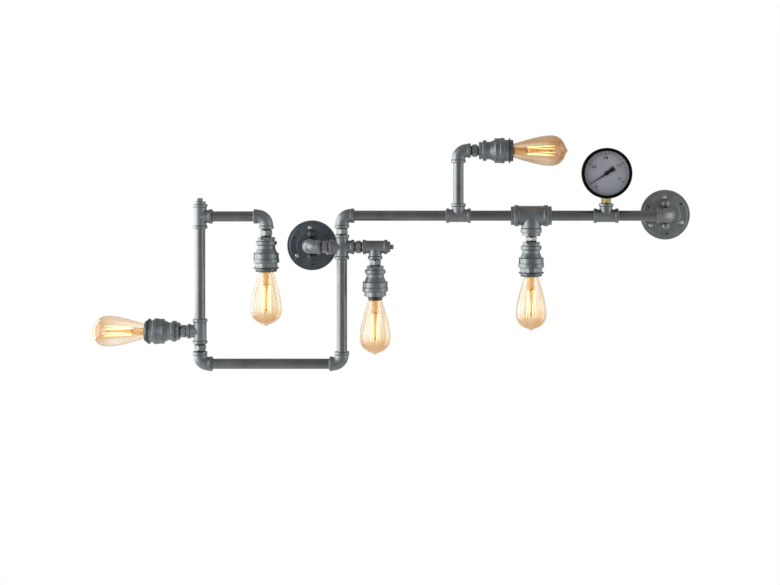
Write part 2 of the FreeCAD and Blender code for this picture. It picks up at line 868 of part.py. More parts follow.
def pan_screw():
    """A pan head screw along +Z, seated under its head at z = 0."""
    body = new_body("pan_screw_turning")
    shank_r = size("screw_od") / 2
    head_r = size("screw_head_od") / 2
    head = size("screw_head")
    down_to = -(size("flange_web") - seat)
    soft = size("screw_head_round")
    loop = [
        (0, down_to),
        (shank_r, down_to),
        (shank_r, 0),
        (head_r, 0),
        (head_r, head - soft, soft),
        (head_r - soft, head),
        (0, head),
    ]
    turned(body, "screw", [loop])
    half_slot = size("screw_slot") / 2
    slot = [(head_r, half_slot), (-head_r, half_slot), (-head_r, -half_slot), (head_r, -half_slot)]
    padded(body, "slot", [slot], head, size("screw_slot_floor"), "Pocket")
    return body


def dome_nut():
    """A dome nut along +Z, seated at z = 0, with a blind hole for its stud."""
    body = new_body("dome_nut_turning")
    across = size("dome_nut_od")
    head = size("dome_nut_hexagon")
    height = size("dome_nut_height")
    stud_r = size("stud_od") / 2 + gap
    padded(body, "hexagon", [hexagon(size("dome_nut_flats"), 30)], head)
    outer = across / 2
    trim = [(outer, -head), (outer, head * 2), (across, head * 2), (across, -head)]
    turned(body, "corners", [trim], kind="Groove")
    dome_r = size("dome_nut_dome_od") / 2
    rise = height - head
    arc_r = (dome_r * dome_r + rise * rise) / (2 * rise)
    turned(body, "dome", [[(0, 0), (dome_r, 0), (dome_r, head, arc_r), (0, height)]])
    deep = head + seat
    turned(body, "hole", [[(0, -head), (stud_r, -head), (stud_r, deep), (0, deep)]], kind="Groove")
    return body


flange_casting = wall_flange()
bracket_disc = wall_bracket()
pan_screw_turning = pan_screw()
dome_nut_turning = dome_nut()
wall_nipple_span = size("standoff") - reach - size("flange_boss")
wall_nipple_pipe = pipe_length("wall_nipple_pipe", wall_nipple_span)

wall_ends = {"left": (0, 0, 0), "right": (x_wall_end, 0, z_top)}
fasteners, brackets, stubs = [], [], []
for side_name, centre in wall_ends.items():
    copies(side_name + "_wall_flange", [(flange_casting, centre, towards_room)])
    brackets.append((bracket_disc, centre, towards_room))
    stubs.append((wall_nipple_pipe, (centre[0], -size("flange_boss"), centre[2]), towards_room))
    for x, z, diameter in screw_places(0):
        place = (centre[0] + x, -size("flange_web"), centre[2] + z)
        fasteners.append((pan_screw_turning, place, towards_room))
    for x, z, diameter in stud_places(0):
        place = (centre[0] + x, -size("flange_ring"), centre[2] + z)
        fasteners.append((dome_nut_turning, place, towards_room))
copies("wall_brackets", brackets)
copies("flange_fasteners", fasteners)
copies("wall_nipples", stubs)

# ---------------------------------------------------------------- lamp sockets
# Along each lamp's own axis, from its nipple outwards.

bell_start = size("bushing_head") + size("bushing_gap")
bell_end = bell_start + size("bell_length")
mouth_end = bell_end + size("mouth_bushing_head")
holder_end = mouth_end + size("holder_flange")
ring_end = holder_end + size("ring_length")
holder_start = mouth_end - size("holder_depth")
floor_end = holder_start + size("holder_floor")
contact_top = floor_end + size("centre_contact_height")
cap_start = contact_top + size("tip_gap")
cap_end = cap_start + size("cap_length")
cap_r = size("cap_od") / 2
shell_inner = cap_r + size("shell_gap")
shell_outer = shell_inner + size("shell_sheet")
holder_bore = shell_outer + gap
holder_r = size("holder_od") / 2
bell_thread_r = size("bell_thread_od") / 2
mouth_thread_r = size("mouth_bushing_thread_od") / 2
lead_hole_r = size("cable_od") / 2 + 4 * gap


def bell_bushing():
    """The hexagon bushing at the root of a lamp socket."""
    body = new_body("bell_bushing_turning")
    flats = size("bushing_flats")
    head = size("bushing_head")
    padded(body, "head", [hexagon(flats)], head)
    bevel_corners(body, "head_bevel", flats, 0, head, size("hexagon_bevel"))
    end = bell_start + size("bushing_thread_length")
    thread_r = bell_thread_r - gap
    foot_r = flats / 2 - seat
    turned(body, "thread", [[(0, 0), (foot_r, 0), (thread_r, head), (thread_r, end), (0, end)]])
    depth = size("socket_depth")
    bevel = size("mouth_bevel")
    bore = [
        (0, -head),
        (socket_r + bevel + head, -head),
        (socket_r, bevel),
        (socket_r, depth),
        (passage_r, depth),
        (passage_r, end + head),
        (0, end + head),
    ]
    turned(body, "bore", [bore], kind="Groove")
    return body


def lamp_bell():
    """The bell-shaped reducing fitting, with a bead at each end and two ribs."""
    body = new_body("bell_casting")
    wall = size("bell_wall")
    bead_r = size("bell_top_bead_od") / 2
    neck_r = size("bell_neck_od") / 2
    body_r = size("bell_body_od") / 2
    mouth_r = size("bell_mouth_bead_od") / 2
    soft = size("bell_round")
    bead_end = bell_start + size("bell_top_bead")
    neck_end = bead_end + size("bell_neck")
    shoulder_end = neck_end + size("bell_shoulder")
    mouth_start = bell_end - size("bell_mouth_bead")
    thread_end = bell_start + size("bushing_thread_length") + seat
    inner_r = body_r - wall
    bushing_deep = bell_end - size("mouth_bushing_thread_length") - seat
    outline = [
        (bell_thread_r, bell_start),
        (bead_r - soft, bell_start, soft),
        (bead_r, bell_start + soft),
        (bead_r, bead_end - soft, soft),
        (bead_r - soft, bead_end),
        (neck_r, bead_end + soft * 0.5),
        (neck_r, neck_end - soft),
        (body_r - soft, shoulder_end),
        (body_r, shoulder_end + soft),
        (body_r, mouth_start - soft * 0.5),
        (mouth_r - soft, mouth_start, soft),
        (mouth_r, mouth_start + soft),
        (mouth_r, bell_end - soft, soft),
        (mouth_r - soft, bell_end),
        (mouth_thread_r, bell_end),
        (mouth_thread_r, bushing_deep),
        (inner_r, bushing_deep),
        (inner_r, shoulder_end),
        (neck_r - wall, neck_end),
        (neck_r - wall, thread_end),
        (bell_thread_r, thread_end),
    ]
    turned(body, "casting", [outline])
    half = size("bell_rib_width") / 2
    outer = body_r + size("bell_rib_height")
    inner = body_r - wall / 2
    rib = [(inner, half), (outer, half), (outer, -half), (inner, -half)]
    made = padded(body, "rib", [rib], mouth_start - shoulder_end, shoulder_end)
    polar_pattern(body, made, "ribs", size("bell_ribs"))
    return body


def mouth_bushing():
    """The bushing with flats that closes the bell's mouth and holds the lampholder."""
    body = new_body("mouth_bushing_turning")
    flats = size("mouth_bushing_flats")
    head = size("mouth_bushing_head")
    padded(body, "head", [hexagon(flats, 30)], head, bell_end)
    outer = size("mouth_bushing_od") / 2
    low = bell_end - head
    high = mouth_end + head
    trim = [(outer, low), (outer, high), (flats, high), (flats, low)]
    turned(body, "corners", [trim], kind="Groove")
    thread_r = mouth_thread_r - gap
    deep = bell_end - size("mouth_bushing_thread_length")
    turned(body, "thread", [[(0, deep), (thread_r, deep), (thread_r, bell_end), (0, bell_end)]])
    hole = holder_r + gap
    turned(body, "bore", [[(0, deep - head), (hole, deep - head), (hole, high), (0, high)]], kind="Groove")
    return body


def lampholder(name, flange_od, nose_od, nose):
    """The insulating lampholder body: a deep cup with a flange and a nose."""
    body = new_body(name)
    flange_r = flange_od / 2
    nose_r = nose_od / 2
    end = holder_end + nose
    outline = [
        (lead_hole_r, holder_start),
        (holder_r, holder_start),
        (holder_r, mouth_end),
        (flange_r, mouth_end),
        (flange_r, holder_end),
        (nose_r, holder_end),
        (nose_r, end),
        (holder_bore + seat, end),
        (holder_bore, end - size("holder_flare")),
        (holder_bore, floor_end),
        (lead_hole_r, floor_end),
    ]
    turned(body, "moulding", [outline])
    return body


def lampholder_contacts():
    """The threaded contact shell and the centre contact inside a lampholder, two solids."""
    shell = new_body("contact_shell")
    end = mouth_end + size("holder_flange") / 2
    sheet_metal = size("shell_sheet")
    floor_r = shell_outer - size("shell_floor")
    outline = [
        (floor_r, floor_end),
        (shell_outer, floor_end),
        (shell_outer, end),
        (shell_inner, end),
        (shell_inner, floor_end + sheet_metal),
        (floor_r, floor_end + sheet_metal),
    ]
    turned(shell, "sheet", [outline])
    centre = new_body("centre_contact")
    foot_r = size("centre_contact_od") / 2
    outline = [
        (lead_hole_r, floor_end),
        (foot_r, floor_end),
        (foot_r, floor_end + sheet_metal),
        (size("contact_tip_od") / 2, contact_top),
        (0, contact_top),
        (0, contact_top - sheet_metal),
        (lead_hole_r, contact_top - sheet_metal),
    ]
    turned(centre, "cup", [outline])
    return [shell, centre]


def end_ring():
    """The ring that screws on the lampholder's nose."""
    body = new_body("end_ring_turning")
    inner = holder_r + gap
    lip_r = size("glass_neck_od") / 2 + seat * 3
    soft = size("bead_round") * 0.5
    lip_start = ring_end - size("ring_lip")
    outline = [
        (inner, holder_end),
        (size("ring_od") / 2 - soft, holder_end, soft),
        (size("ring_od") / 2, holder_end + soft),
        (size("ring_mouth_od") / 2, ring_end - soft),
        (size("ring_mouth_od") / 2 - soft, ring_end),
        (lip_r, ring_end),
        (lip_r, lip_start),
        (inner, lip_start),
    ]
    turned(body, "ring", [outline])
    return body


bell_bushing_turning = bell_bushing()
bell_casting = lamp_bell()
mouth_bushing_turning = mouth_bushing()
ring_holder = lampholder("ring_holder", size("holder_flange_od"), size("holder_od"), size("holder_nose"))
plain_flange = size("holder_od") + 6 * gap
plain_holder = lampholder("plain_holder", plain_flange, size("plain_nose_od"), size("plain_nose"))
contact_masters = lampholder_contacts()
end_ring_turning = end_ring()

bushing_list, holder_list, contact_list, ring_list = [], [], [], []
for number, lamp in lamps.items():
    place, turn = lamp["place"], lamp["turn"]
    copies("lamp_bell_%d" % number, [(bell_casting, place, turn)])
    bushing_list += [(bell_bushing_turning, place, turn), (mouth_bushing_turning, place, turn)]
    contact_list += [(master, place, turn) for master in contact_masters]
    if number == 4:
        holder_list.append((plain_holder, place, turn))
    else:
        holder_list.append((ring_holder, place, turn))
        ring_list.append((end_ring_turning, place, turn))
big_left = (x_big - size("big_reach"), y_pipes, z_top)
big_right = (x_big + size("big_reach"), y_pipes, z_top)
big_low = (x_big, y_pipes, z_top - size("big_reach"))
bushing_list.append((tee_bushing_turning, big_left, facing(left, up)))
bushing_list.append((tee_bushing_turning, big_right, facing(right, up)))
bushing_list.append((tee_bushing_turning, big_low, facing(down, right)))
copies("reducing_bushings", bushing_list)
copies("lampholder_bodies", holder_list)
copies("lampholder_contacts", contact_list)
copies("end_rings", ring_list)

# ---------------------------------------------------------------- bulbs


def bulb_contact():
    """The black glass insulator and the solder contact at the foot of a bulb's cap."""
    body = new_body("bulb_contact_turning")
    contact_r = size("contact_od") / 2
    solder_end = cap_start + size("contact_height")
    insulator_end = solder_end + size("insulator_height")
    outline = [
        (0, cap_start),
        (size("contact_tip_od") / 2, cap_start),
        (contact_r, solder_end),
        (size("insulator_tip_od") / 2, solder_end),
        (size("cap_foot_od") / 2, insulator_end),
        (0, insulator_end),
    ]
    turned(body, "foot", [outline])
    return body


def bulb_cap():
    """The sheet metal screw cap, with its rolled thread as rings one pitch apart."""
    body = new_body("bulb_cap_sheet")
    pitch = size("cap_pitch")
    sheet_metal = size("cap_sheet")
    root_r = cap_r - size("cap_thread_depth")
    start = cap_start + size("contact_height") + size("insulator_height")
    half = pitch / 2
    outer = [(size("cap_foot_od") / 2, start)]
    for k in range(driving["cap_turns"]):
        low = start + half + pitch * k
        outer += [(root_r, low), (cap_r, low + half)]
    collar = start + half + pitch * driving["cap_turns"]
    outer += [(root_r, collar), (cap_r, collar + half / 2), (cap_r, cap_end)]
    inner = [(r - sheet_metal, z) for r, z in reversed(outer)]
    turned(body, "sheet", [outer + inner])
    return body


def glass_outline(inset):
    """The drop-shaped side of the glass from its neck to its crown, as arcs that meet smoothly."""
    big = size("glass_od") / 2
    neck = size("glass_neck_od") / 2
    crown = cap_end + size("glass_length") - big
    neck_end = cap_end + size("glass_neck_length")
    rise = crown - neck_end
    drop = big - neck
    total = (rise * rise + drop * drop) / (2 * drop)
    share = size("glass_belly_share")
    belly_r = total * share
    waist_r = total * (1 - share)
    meet_r = big - drop * share
    meet_z = crown - rise * share
    return [
        (cap_r - inset, cap_end),
        (neck - inset, neck_end, -(waist_r + inset)),
        (meet_r - inset, meet_z, belly_r - inset),
        (big - inset, crown, big - inset),
        (0, crown + big - inset),
    ]


def bulb_glass():
    """The glass envelope, hollow, closed at its crown and cemented on the cap's rim."""
    body = new_body("bulb_glass_blown")
    wall = size("glass_wall")
    outer = glass_outline(0)
    inner = glass_outline(wall)
    back = []
    for i in reversed(range(len(inner))):
        before = inner[i - 1] if i else ()
        turn = (-before[2],) if len(before) == 3 else ()
        back.append((inner[i][0], inner[i][1]) + turn)
    turned(body, "glass", [outer + back])
    return body


def leaning(turn, lean):
    """Leant over from +Z towards +X by the second angle, then turned about Z by the first."""
    about_z = FreeCAD.Rotation(FreeCAD.Vector(0, 0, 1), turn)
    return about_z.multiply(FreeCAD.Rotation(FreeCAD.Vector(0, 1, 0), lean))


def bulb_filament():
    """The glass stem, its wire supports and the cage of filament wires, joined in one piece."""
    stem = new_body("bulb_stem")
    rod_r = size("stem_rod_od") / 2
    flare_r = cap_r - size("cap_sheet") - seat
    foot = cap_end - size("glass_neck_length")
    flare_end = cap_end + size("glass_neck_length")
    top = cap_end + size("stem_length")
    outline = [
        (0, foot),
        (flare_r, foot),
        (size("stem_tube_od") / 2, cap_end),
        (size("stem_tube_od") / 2, flare_end),
        (rod_r, flare_end + size("glass_neck_length")),
        (rod_r, top - rod_r),
        (0, top),
    ]
    turned(stem, "glass_rod", [outline])
    wires = [stem]
    wire_r = size("cage_wire_od") / 2
    low = cap_end + size("cage_start")
    high = top - size("cage_top_margin")
    low_r = size("cage_od") / 2
    high_r = size("cage_top_od") / 2
    lean = high_r - low_r
    length = root((high - low) * (high - low) + lean * lean)
    for k in range(driving["cage_wires"]):
        turn = 360 / driving["cage_wires"] * k
        for name, level, far in (("low", low, low_r), ("high", high, high_r)):
            arm = doc.addObject("Part::Cylinder", "cage_arm_%s_%d" % (name, k))
            give(arm, "Radius", wire_r)
            give(arm, "Height", far)
            wires.append(put(arm, (0, 0, level), leaning(turn, 90)))
        wire = doc.addObject("Part::Cylinder", "cage_wire_%d" % k)
        give(wire, "Radius", wire_r)
        give(wire, "Height", length)
        lean_turn = math.degrees(math.atan2(number_of(lean), number_of(high - low)))
        angle = math.radians(turn)
        place = (low_r * round(math.cos(angle), 9), low_r * round(math.sin(angle), 9), low)
        wires.append(put(wire, place, leaning(turn, lean_turn)))
    fused = doc.addObject("Part::MultiFuse", "bulb_filament_cage")
    fused.Shapes = wires
    return fused


bulb_masters = {
    "contact": bulb_contact(),
    "cap": bulb_cap(),
    "glass": bulb_glass(),
    "filament": bulb_filament(),
}
for number, lamp in lamps.items():
    for piece, master in bulb_masters.items():
        copies("bulb_%d_%s" % (number, piece), [(master, lamp["place"], lamp["turn"])])

# ---------------------------------------------------------------- pressure gauge
# Built with its back at z = 0 and its face towards +Z, then turned to face the room.

case_r = size("gauge_case_od") / 2
stem_z = size("gauge_stem_depth")
z_gauge_foot = z_top + reach + seat + size("connector_hexagon") + seat
gauge_place = (x_gauge, y_pipes + stem_z, z_gauge_foot + case_r)
stem_low = case_r + seat + size("gauge_stem_reach")
needle_z = size("dial_depth") + size("dial_sheet") + size("needle_lift")
window_gap = seat / 3
window_start = size("gauge_case_depth") + window_gap
pinion_r = size("gear_module") * size("pinion_teeth") / 2
sector_r = size("gear_module") * size("sector_teeth") / 2
gear_reach = pinion_r + sector_r


def gauge_connector():
    """The brass connector between the tee and the gauge's stem."""
    body = new_body("gauge_connector")
    flats = size("connector_flats")
    length = size("connector_hexagon")
    low = seat
    padded(body, "hexagon", [hexagon(flats, 30)], length, low)
    bevel_corners(body, "hexagon_bevel", flats, low, low + length, size("hexagon_bevel"))
    relief_r = pipe_r - size("neck_round")
    turned(body, "thread", [[(0, -engaged), (pipe_r, -engaged), (pipe_r, -seat), (relief_r, low), (0, low)]])
    bore_r = size("gauge_stem_od") / 2 + gap
    top = low + length
    deep = top + seat - size("gauge_stem_reach") - seat * 2
    lead_r = bore_r / 2
    bore = [(0, -reach), (lead_r, -reach), (lead_r, deep), (bore_r, deep), (bore_r, top + 1), (0, top + 1)]
    turned(body, "bore", [bore], kind="Groove")
    return add_node("gauge_connector", put(body, (x_gauge, y_pipes, z_top + reach), facing(up, right)))


def gauge_case():
    """The round case: a deep pan with a hole in its side for the stem."""
    body = new_body("gauge_case")
    sheet_metal = size("gauge_sheet")
    depth = size("gauge_case_depth")
    soft = size("gauge_case_round")
    outline = [
        (0, 0),
        (case_r - soft, 0, soft),
        (case_r, soft),
        (case_r, depth),
        (case_r - sheet_metal, depth),
        (case_r - sheet_metal, soft),
        (case_r - soft, sheet_metal),
        (0, sheet_metal),
    ]
    turned(body, "pan", [outline])
    sketch = new_sketch(body, "stem_hole_outline", "XZ_Plane")
    draw_circle(sketch, 0, stem_z, size("gauge_stem_od") + 2 * gap)
    hole = feature(body, "Pocket", sketch, "stem_hole")
    give(hole, "Length", case_r + 1)
    hole.Reversed = True
    return add_node("gauge_case", put(body, gauge_place, towards_room))


def gauge_ring():
    """The black ring that holds the window on the case."""
    body = new_body("gauge_ring")
    outer = size("gauge_ring_od") / 2
    opening = size("gauge_ring_opening") / 2
    inner = case_r + gap
    start = size("gauge_case_depth") - size("gauge_ring_skirt")
    shelf = window_start + size("gauge_window") + window_gap
    front = shelf + size("gauge_ring_lip")
    soft = size("bead_round")
    outline = [
        (inner, start),
        (outer - soft / 2, start),
        (outer, start + soft / 2),
        (outer, front - soft, soft),
        (outer - soft, front),
        (opening + soft, front),
        (opening, front - soft / 2),
        (opening, shelf),
        (inner, shelf),
    ]
    turned(body, "ring", [outline])
    return add_node("gauge_ring", put(body, gauge_place, towards_room))


def gauge_disc(name, radius, start, thickness, hole_r=None):
    """A plain disc of the gauge: its window or its dial."""
    body = new_body(name)
    inner = 0 if hole_r is None else hole_r
    end = start + thickness
    turned(body, "disc", [[(inner, start), (radius, start), (radius, end), (inner, end)]])
    return add_node(name, put(body, gauge_place, towards_room))


# Standard gear teeth: their pressure angle, their depth below the pitch circle in modules,
# and the widest half root as a share of the pitch.
pressure_angle = math.radians(20)
dedendum = 1.25
widest_root = 0.45


def tooth_ring(teeth, first, count, module, thickness_gap):
    """Corner points of gear teeth on a circle, tooth k centred at angle first + k pitch."""
    pitch = 2 * math.pi / teeth
    pitch_r = teeth * module / 2
    out = []
    for k in range(count):
        centre = first + k * pitch
        half = pitch / 4 - thickness_gap / pitch_r / 2
        slope = module * math.tan(pressure_angle) / pitch_r
        root_half = min(half + dedendum * slope, pitch * widest_root)
        tip_half = half - slope
        root_r = pitch_r - dedendum * module
        tip_r = pitch_r + module
        for r, a in (
            (root_r, centre - root_half),
            (tip_r, centre - tip_half),
            (tip_r, centre + tip_half),
            (root_r, centre + root_half),
        ):
            out.append(FreeCAD.Vector(r * math.cos(a), r * math.sin(a), 0))
    return out


def plate_of(points, bottom, thickness):
    """A flat plate from its corner points."""
    loop = Part.makePolygon(points + [points[0]])
    face = Part.Face(loop)
    plate = face.extrude(FreeCAD.Vector(0, 0, number_of(thickness)))
    plate.translate(FreeCAD.Vector(0, 0, number_of(bottom)))
    return plate


def disc_at(x, y, low, high, radius):
    spot = FreeCAD.Vector(number_of(x), number_of(y), number_of(low))
    return Part.makeCylinder(number_of(radius), number_of(high) - number_of(low), spot)


def gauge_needle():
    """The pointer on its staff, with the pinion cut on the staff."""
    module = driving["gear_module"]
    teeth = driving["pinion_teeth"]
    low = size("movement_back")
    sheet_metal = size("movement_sheet")
    staff = disc_at(0, 0, low, needle_z + 1, size("staff_od") / 2)
    down_angle = math.radians(-90)
    gear = tooth_ring(teeth, down_angle + math.pi / teeth, teeth, module, driving["gear_backlash"])
    pinion = plate_of(gear, size("sector_depth") - sheet_metal, sheet_metal * 3)
    hub = disc_at(0, 0, needle_z - 1, needle_z + size("needle_sheet") + 1, size("needle_hub_od") / 2)
    stations = [
        (-driving["needle_tail"], driving["needle_tail_width"] / 2),
        (0, driving["needle_root_width"] / 2),
        (driving["needle_length"], driving["needle_tip_width"] / 2),
    ]
    outline = [FreeCAD.Vector(x, half, 0) for x, half in stations]
    outline += [FreeCAD.Vector(x, -half, 0) for x, half in reversed(stations)]
    pointer = plate_of(outline, needle_z, size("needle_sheet"))
    pointer.rotate(FreeCAD.Vector(), FreeCAD.Vector(0, 0, 1), driving["needle_zero"])
    solid = staff.fuse([pinion, hub, pointer]).removeSplitter()
    thing = doc.addObject("Part::Feature", "gauge_needle")
    thing.Shape = solid
    return add_node("gauge_needle", put(thing, gauge_place, towards_room))


def gauge_sector():
    """The toothed sector that drives the pinion, on its arbor."""
    module = driving["gear_module"]
    total = driving["sector_teeth"]
    pitch = 2 * math.pi / total
    turn = math.radians(driving["needle_sweep"]) * driving["pinion_teeth"] / total
    spare = 2
    count = int(turn / pitch) + 1 + 2 * spare
    up_angle = math.radians(90)
    first = up_angle - (count - 1 - spare) * pitch
    teeth = tooth_ring(total, first, count, module, driving["gear_backlash"])
    plate_low = size("sector_depth")
    pivot = FreeCAD.Vector(0, -gear_reach.value, 0)
    plate = plate_of([pivot] + [pivot + corner for corner in teeth], plate_low, size("movement_sheet"))
    arbor_r = size("staff_od") / 2
    arbor_end = size("movement_front") + size("movement_sheet")
    arbor = disc_at(0, pivot.y, size("movement_back"), arbor_end, arbor_r)
    hub = disc_at(0, pivot.y, plate_low - 1, plate_low + size("movement_sheet") + 1, arbor_r * 2)
    solid = arbor.fuse([plate, hub]).removeSplitter()
    thing = doc.addObject("Part::Feature", "gauge_sector")
    thing.Shape = solid
    return add_node("gauge_sector", put(thing, gauge_place, towards_room))


def gauge_movement():
    """The socket block with its stem, the Bourdon tube, and the frame that carries sector and needle."""
    sheet_metal = size("movement_sheet")
    back = size("movement_back")
    front = size("movement_front")
    half = driving["movement_width"] / 2
    block_half = driving["socket_block"] / 2
    ring_r = driving["tube_ring_od"] / 2
    tube_r = driving["tube_od"] / 2
    block_low = -(case_r.value - 2 * driving["gauge_sheet"] - driving["seat_gap"])
    block_high = -(ring_r - tube_r)
    centre = FreeCAD.Vector(0, 0, stem_z.value)
    block_depth = 2 * block_half
    block = Part.makeBox(2 * block_half, block_high - block_low, block_depth,
                         FreeCAD.Vector(-block_half, block_low, stem_z.value - block_half))
    stem = Part.makeCylinder(driving["gauge_stem_od"] / 2, stem_low.value + block_high,
                             FreeCAD.Vector(0, block_high, stem_z.value), FreeCAD.Vector(0, -1, 0))
    bend = Part.makeTorus(ring_r, tube_r, centre, FreeCAD.Vector(0, 0, 1), -180, 180, driving["tube_arc"])
    bend.rotate(centre, FreeCAD.Vector(0, 0, 1), driving["tube_end"] - driving["tube_arc"])
    end_angle = math.radians(driving["tube_end"])
    tip_side = driving["tube_tip"]
    tip_corner = FreeCAD.Vector(-tip_side / 2, -tip_side / 2, -tip_side / 2)
    tip = Part.makeBox(tip_side, tip_side, tip_side, tip_corner)
    tip.rotate(FreeCAD.Vector(), FreeCAD.Vector(0, 0, 1), driving["tube_end"])
    tip.translate(FreeCAD.Vector(ring_r * math.cos(end_angle), ring_r * math.sin(end_angle), stem_z.value))
    pivot_y = -gear_reach.value
    top = driving["movement_margin"]
    low_y = pivot_y - driving["movement_margin"]
    pieces = [stem, bend, tip]
    running = driving["staff_od"] / 2 + driving["thread_gap"]
    into_block = 2
    for level, bottom in ((back, block_high - into_block), (front, low_y)):
        corners = [(-half, bottom), (half, bottom), (half, top), (-half, top)]
        plate = plate_of([FreeCAD.Vector(x, y, 0) for x, y in corners], level, sheet_metal)
        for y in (0, pivot_y):
            plate = plate.cut(disc_at(0, y, level - 1, level + 2 * sheet_metal, running))
        pieces.append(plate)
    inset = driving["post_inset"]
    post_x = half - inset
    for y in (top - inset, low_y + inset):
        for x in (-post_x, post_x):
            pieces.append(disc_at(x, y, back, size("dial_depth"), driving["post_od"] / 2))
    solid = block.fuse(pieces).removeSplitter()
    thing = doc.addObject("Part::Feature", "gauge_movement")
    thing.Shape = solid
    return add_node("gauge_movement", put(thing, gauge_place, towards_room))


gauge_connector()
gauge_case()
gauge_ring()
gauge_disc("gauge_window", case_r, window_start, size("gauge_window"))
dial_r = case_r - size("gauge_sheet") - seat
gauge_disc("gauge_dial", dial_r, size("dial_depth"), size("dial_sheet"), size("staff_od") / 2 + 1)
gauge_needle()
gauge_sector()
gauge_movement()

# ---------------------------------------------------------------- wiring
# One harness: a lead along every run, a splice where runs part, arcs as wide as the fittings' bends.


def lead_along(points):
    """A round lead along straight runs joined by quarter arcs."""
    corners = [FreeCAD.Vector(*[number_of(c) for c in p]) for p in points]
    edges = []
    start = corners[0]
    for before, corner, after in zip(corners, corners[1:], corners[2:]):
        into = (corner - before).normalize()
        away = (after - corner).normalize()
        first = corner - into * bend_r.value
        last = corner + away * bend_r.value
        middle = corner + (away - into) * bend_r.value * (1 - math.sqrt(0.5))
        edges.append(Part.LineSegment(start, first).toShape())
        edges.append(Part.Arc(first, middle, last).toShape())
        start = last
    edges.append(Part.LineSegment(start, corners[-1]).toShape())
    heading = (corners[1] - corners[0]).normalize()
    circle = Part.Circle(corners[0], heading, driving["cable_od"] / 2)
    return Part.Wire(edges).makePipeShell([Part.Wire([circle.toShape()])], True, False)


def wiring_harness():
    ends = {}
    for number, lamp in lamps.items():
        ends[number] = moved(lamp["place"], lamp["out"], holder_start + size("holder_floor") / 2)
    at_cross = (x_cross, y_pipes, 0)
    at_riser = (x_riser, y_pipes, z_top)
    at_side = (x_left, y_pipes, z_side)
    entry = (0, -size("bracket_sheet"), 0)
    routes = [
        [entry, (0, y_pipes, 0), at_cross],
        [at_cross, (x_plugged, y_pipes, 0), ends[4]],
        [at_cross, (x_cross, y_pipes, z_top), at_riser],
        [at_riser, (x_riser, y_pipes, z_riser), ends[2]],
        [at_riser, (x_big, y_pipes, z_top), ends[3]],
        [at_cross, (x_cross, y_pipes, z_bottom), (x_left, y_pipes, z_bottom), at_side],
        [at_side, ends[5]],
        [at_side, (x_left, y_pipes, z_arm), (x_arm, y_pipes, z_arm), ends[1]],
    ]
    pieces = [lead_along(route) for route in routes]
    for spot in (at_cross, at_riser, at_side):
        centre = FreeCAD.Vector(*[number_of(c) for c in spot])
        pieces.append(Part.makeSphere(driving["splice_od"] / 2, centre))
    thing = doc.addObject("Part::Feature", "wiring_harness")
    thing.Shape = pieces[0].fuse(pieces[1:])
    return add_node("wiring_harness", thing)


wiring_harness()

# ---------------------------------------------------------------- checks and files

doc.recompute()
faults = []
for thing in doc.Objects:
    if "Invalid" in thing.State or "Error" in thing.State:
        faults.append("%s is %s" % (thing.Name, thing.State))
for name, thing in nodes.items():
    shape = thing.Shape
    if shape.isNull() or not shape.isValid() or not shape.Solids:
        faults.append("%s has no valid solid" % name)
if faults:
    raise RuntimeError("; ".join(faults))
os.makedirs("parts", exist_ok=True)
for name, thing in nodes.items():
    thing.Shape.exportStep("parts/%s.step" % name)
print("%d nodes, %d solids" % (len(nodes), sum(len(t.Shape.Solids) for t in nodes.values())))
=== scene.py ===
import math

import bpy
from mathutils import Matrix, Vector


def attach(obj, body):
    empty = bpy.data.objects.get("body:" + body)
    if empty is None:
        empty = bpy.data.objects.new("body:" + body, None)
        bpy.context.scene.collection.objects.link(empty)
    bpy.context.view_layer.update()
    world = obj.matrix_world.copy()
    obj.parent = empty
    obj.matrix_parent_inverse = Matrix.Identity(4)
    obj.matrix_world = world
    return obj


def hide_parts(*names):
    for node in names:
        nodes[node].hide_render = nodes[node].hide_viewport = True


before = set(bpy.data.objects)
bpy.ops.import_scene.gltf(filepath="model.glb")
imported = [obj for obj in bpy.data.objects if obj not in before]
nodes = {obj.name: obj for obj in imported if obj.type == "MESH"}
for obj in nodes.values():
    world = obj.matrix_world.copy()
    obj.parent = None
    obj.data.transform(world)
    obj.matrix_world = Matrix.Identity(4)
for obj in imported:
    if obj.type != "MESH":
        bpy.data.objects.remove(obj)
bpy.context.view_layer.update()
mm = 0.001

left = Vector((-1, 0, 0))
right = Vector((1, 0, 0))
up = Vector((0, 0, 1))
down = Vector((0, 0, -1))
toRoom = Vector((0, -1, 0))

# where the parts of the light stand, in millimetres, as the CAD has them
places = {
    "pipeY": -66.0,
    "crossX": 69.8,
    "bottomZ": -240.8,
    "leftX": -222.7,
    "gauge": (614.3, 152.0),  # the middle of its dial, across and up
    "reach": 25.5,  # from a fitting's middle to its mouth
}

# each lamp: the mouth its nipple starts from, which way it points, the nipple's showing length
lamps = {
    1: {"mouth": (-86.1, -66, 37.5), "out": down, "span": 17.1, "glass": "amberGlass"},
    2: {"mouth": (335.5, -66, 198.6), "out": right, "span": 16.5, "glass": "amberGlassDeep"},
    3: {"mouth": (460.0, -66, 22.6), "out": down, "span": 12.0, "glass": "amberGlass"},
    4: {"mouth": (138.3, -66, -25.5), "out": down, "span": 13.2, "glass": "amberGlass"},
    5: {"mouth": (-248.2, -66, -173.7), "out": left, "span": 15.5, "glass": "amberGlass"},
}


def clearSelection():
    active = bpy.context.view_layer.objects.active
    if active and active.mode != "OBJECT":
        bpy.ops.object.mode_set(mode="OBJECT")
    bpy.ops.object.select_all(action="DESELECT")


def pick(piece):
    clearSelection()
    piece.select_set(True)
    bpy.context.view_layer.objects.active = piece


def named(piece, name):
    piece.name = name
    piece.data.name = name
    return piece


def applyModifier(piece, kind, **settings):
    pick(piece)
    modifier = piece.modifiers.new(kind.lower(), kind)
    for key, value in settings.items():
        setattr(modifier, key, value)
    bpy.ops.object.modifier_apply(modifier=modifier.name)


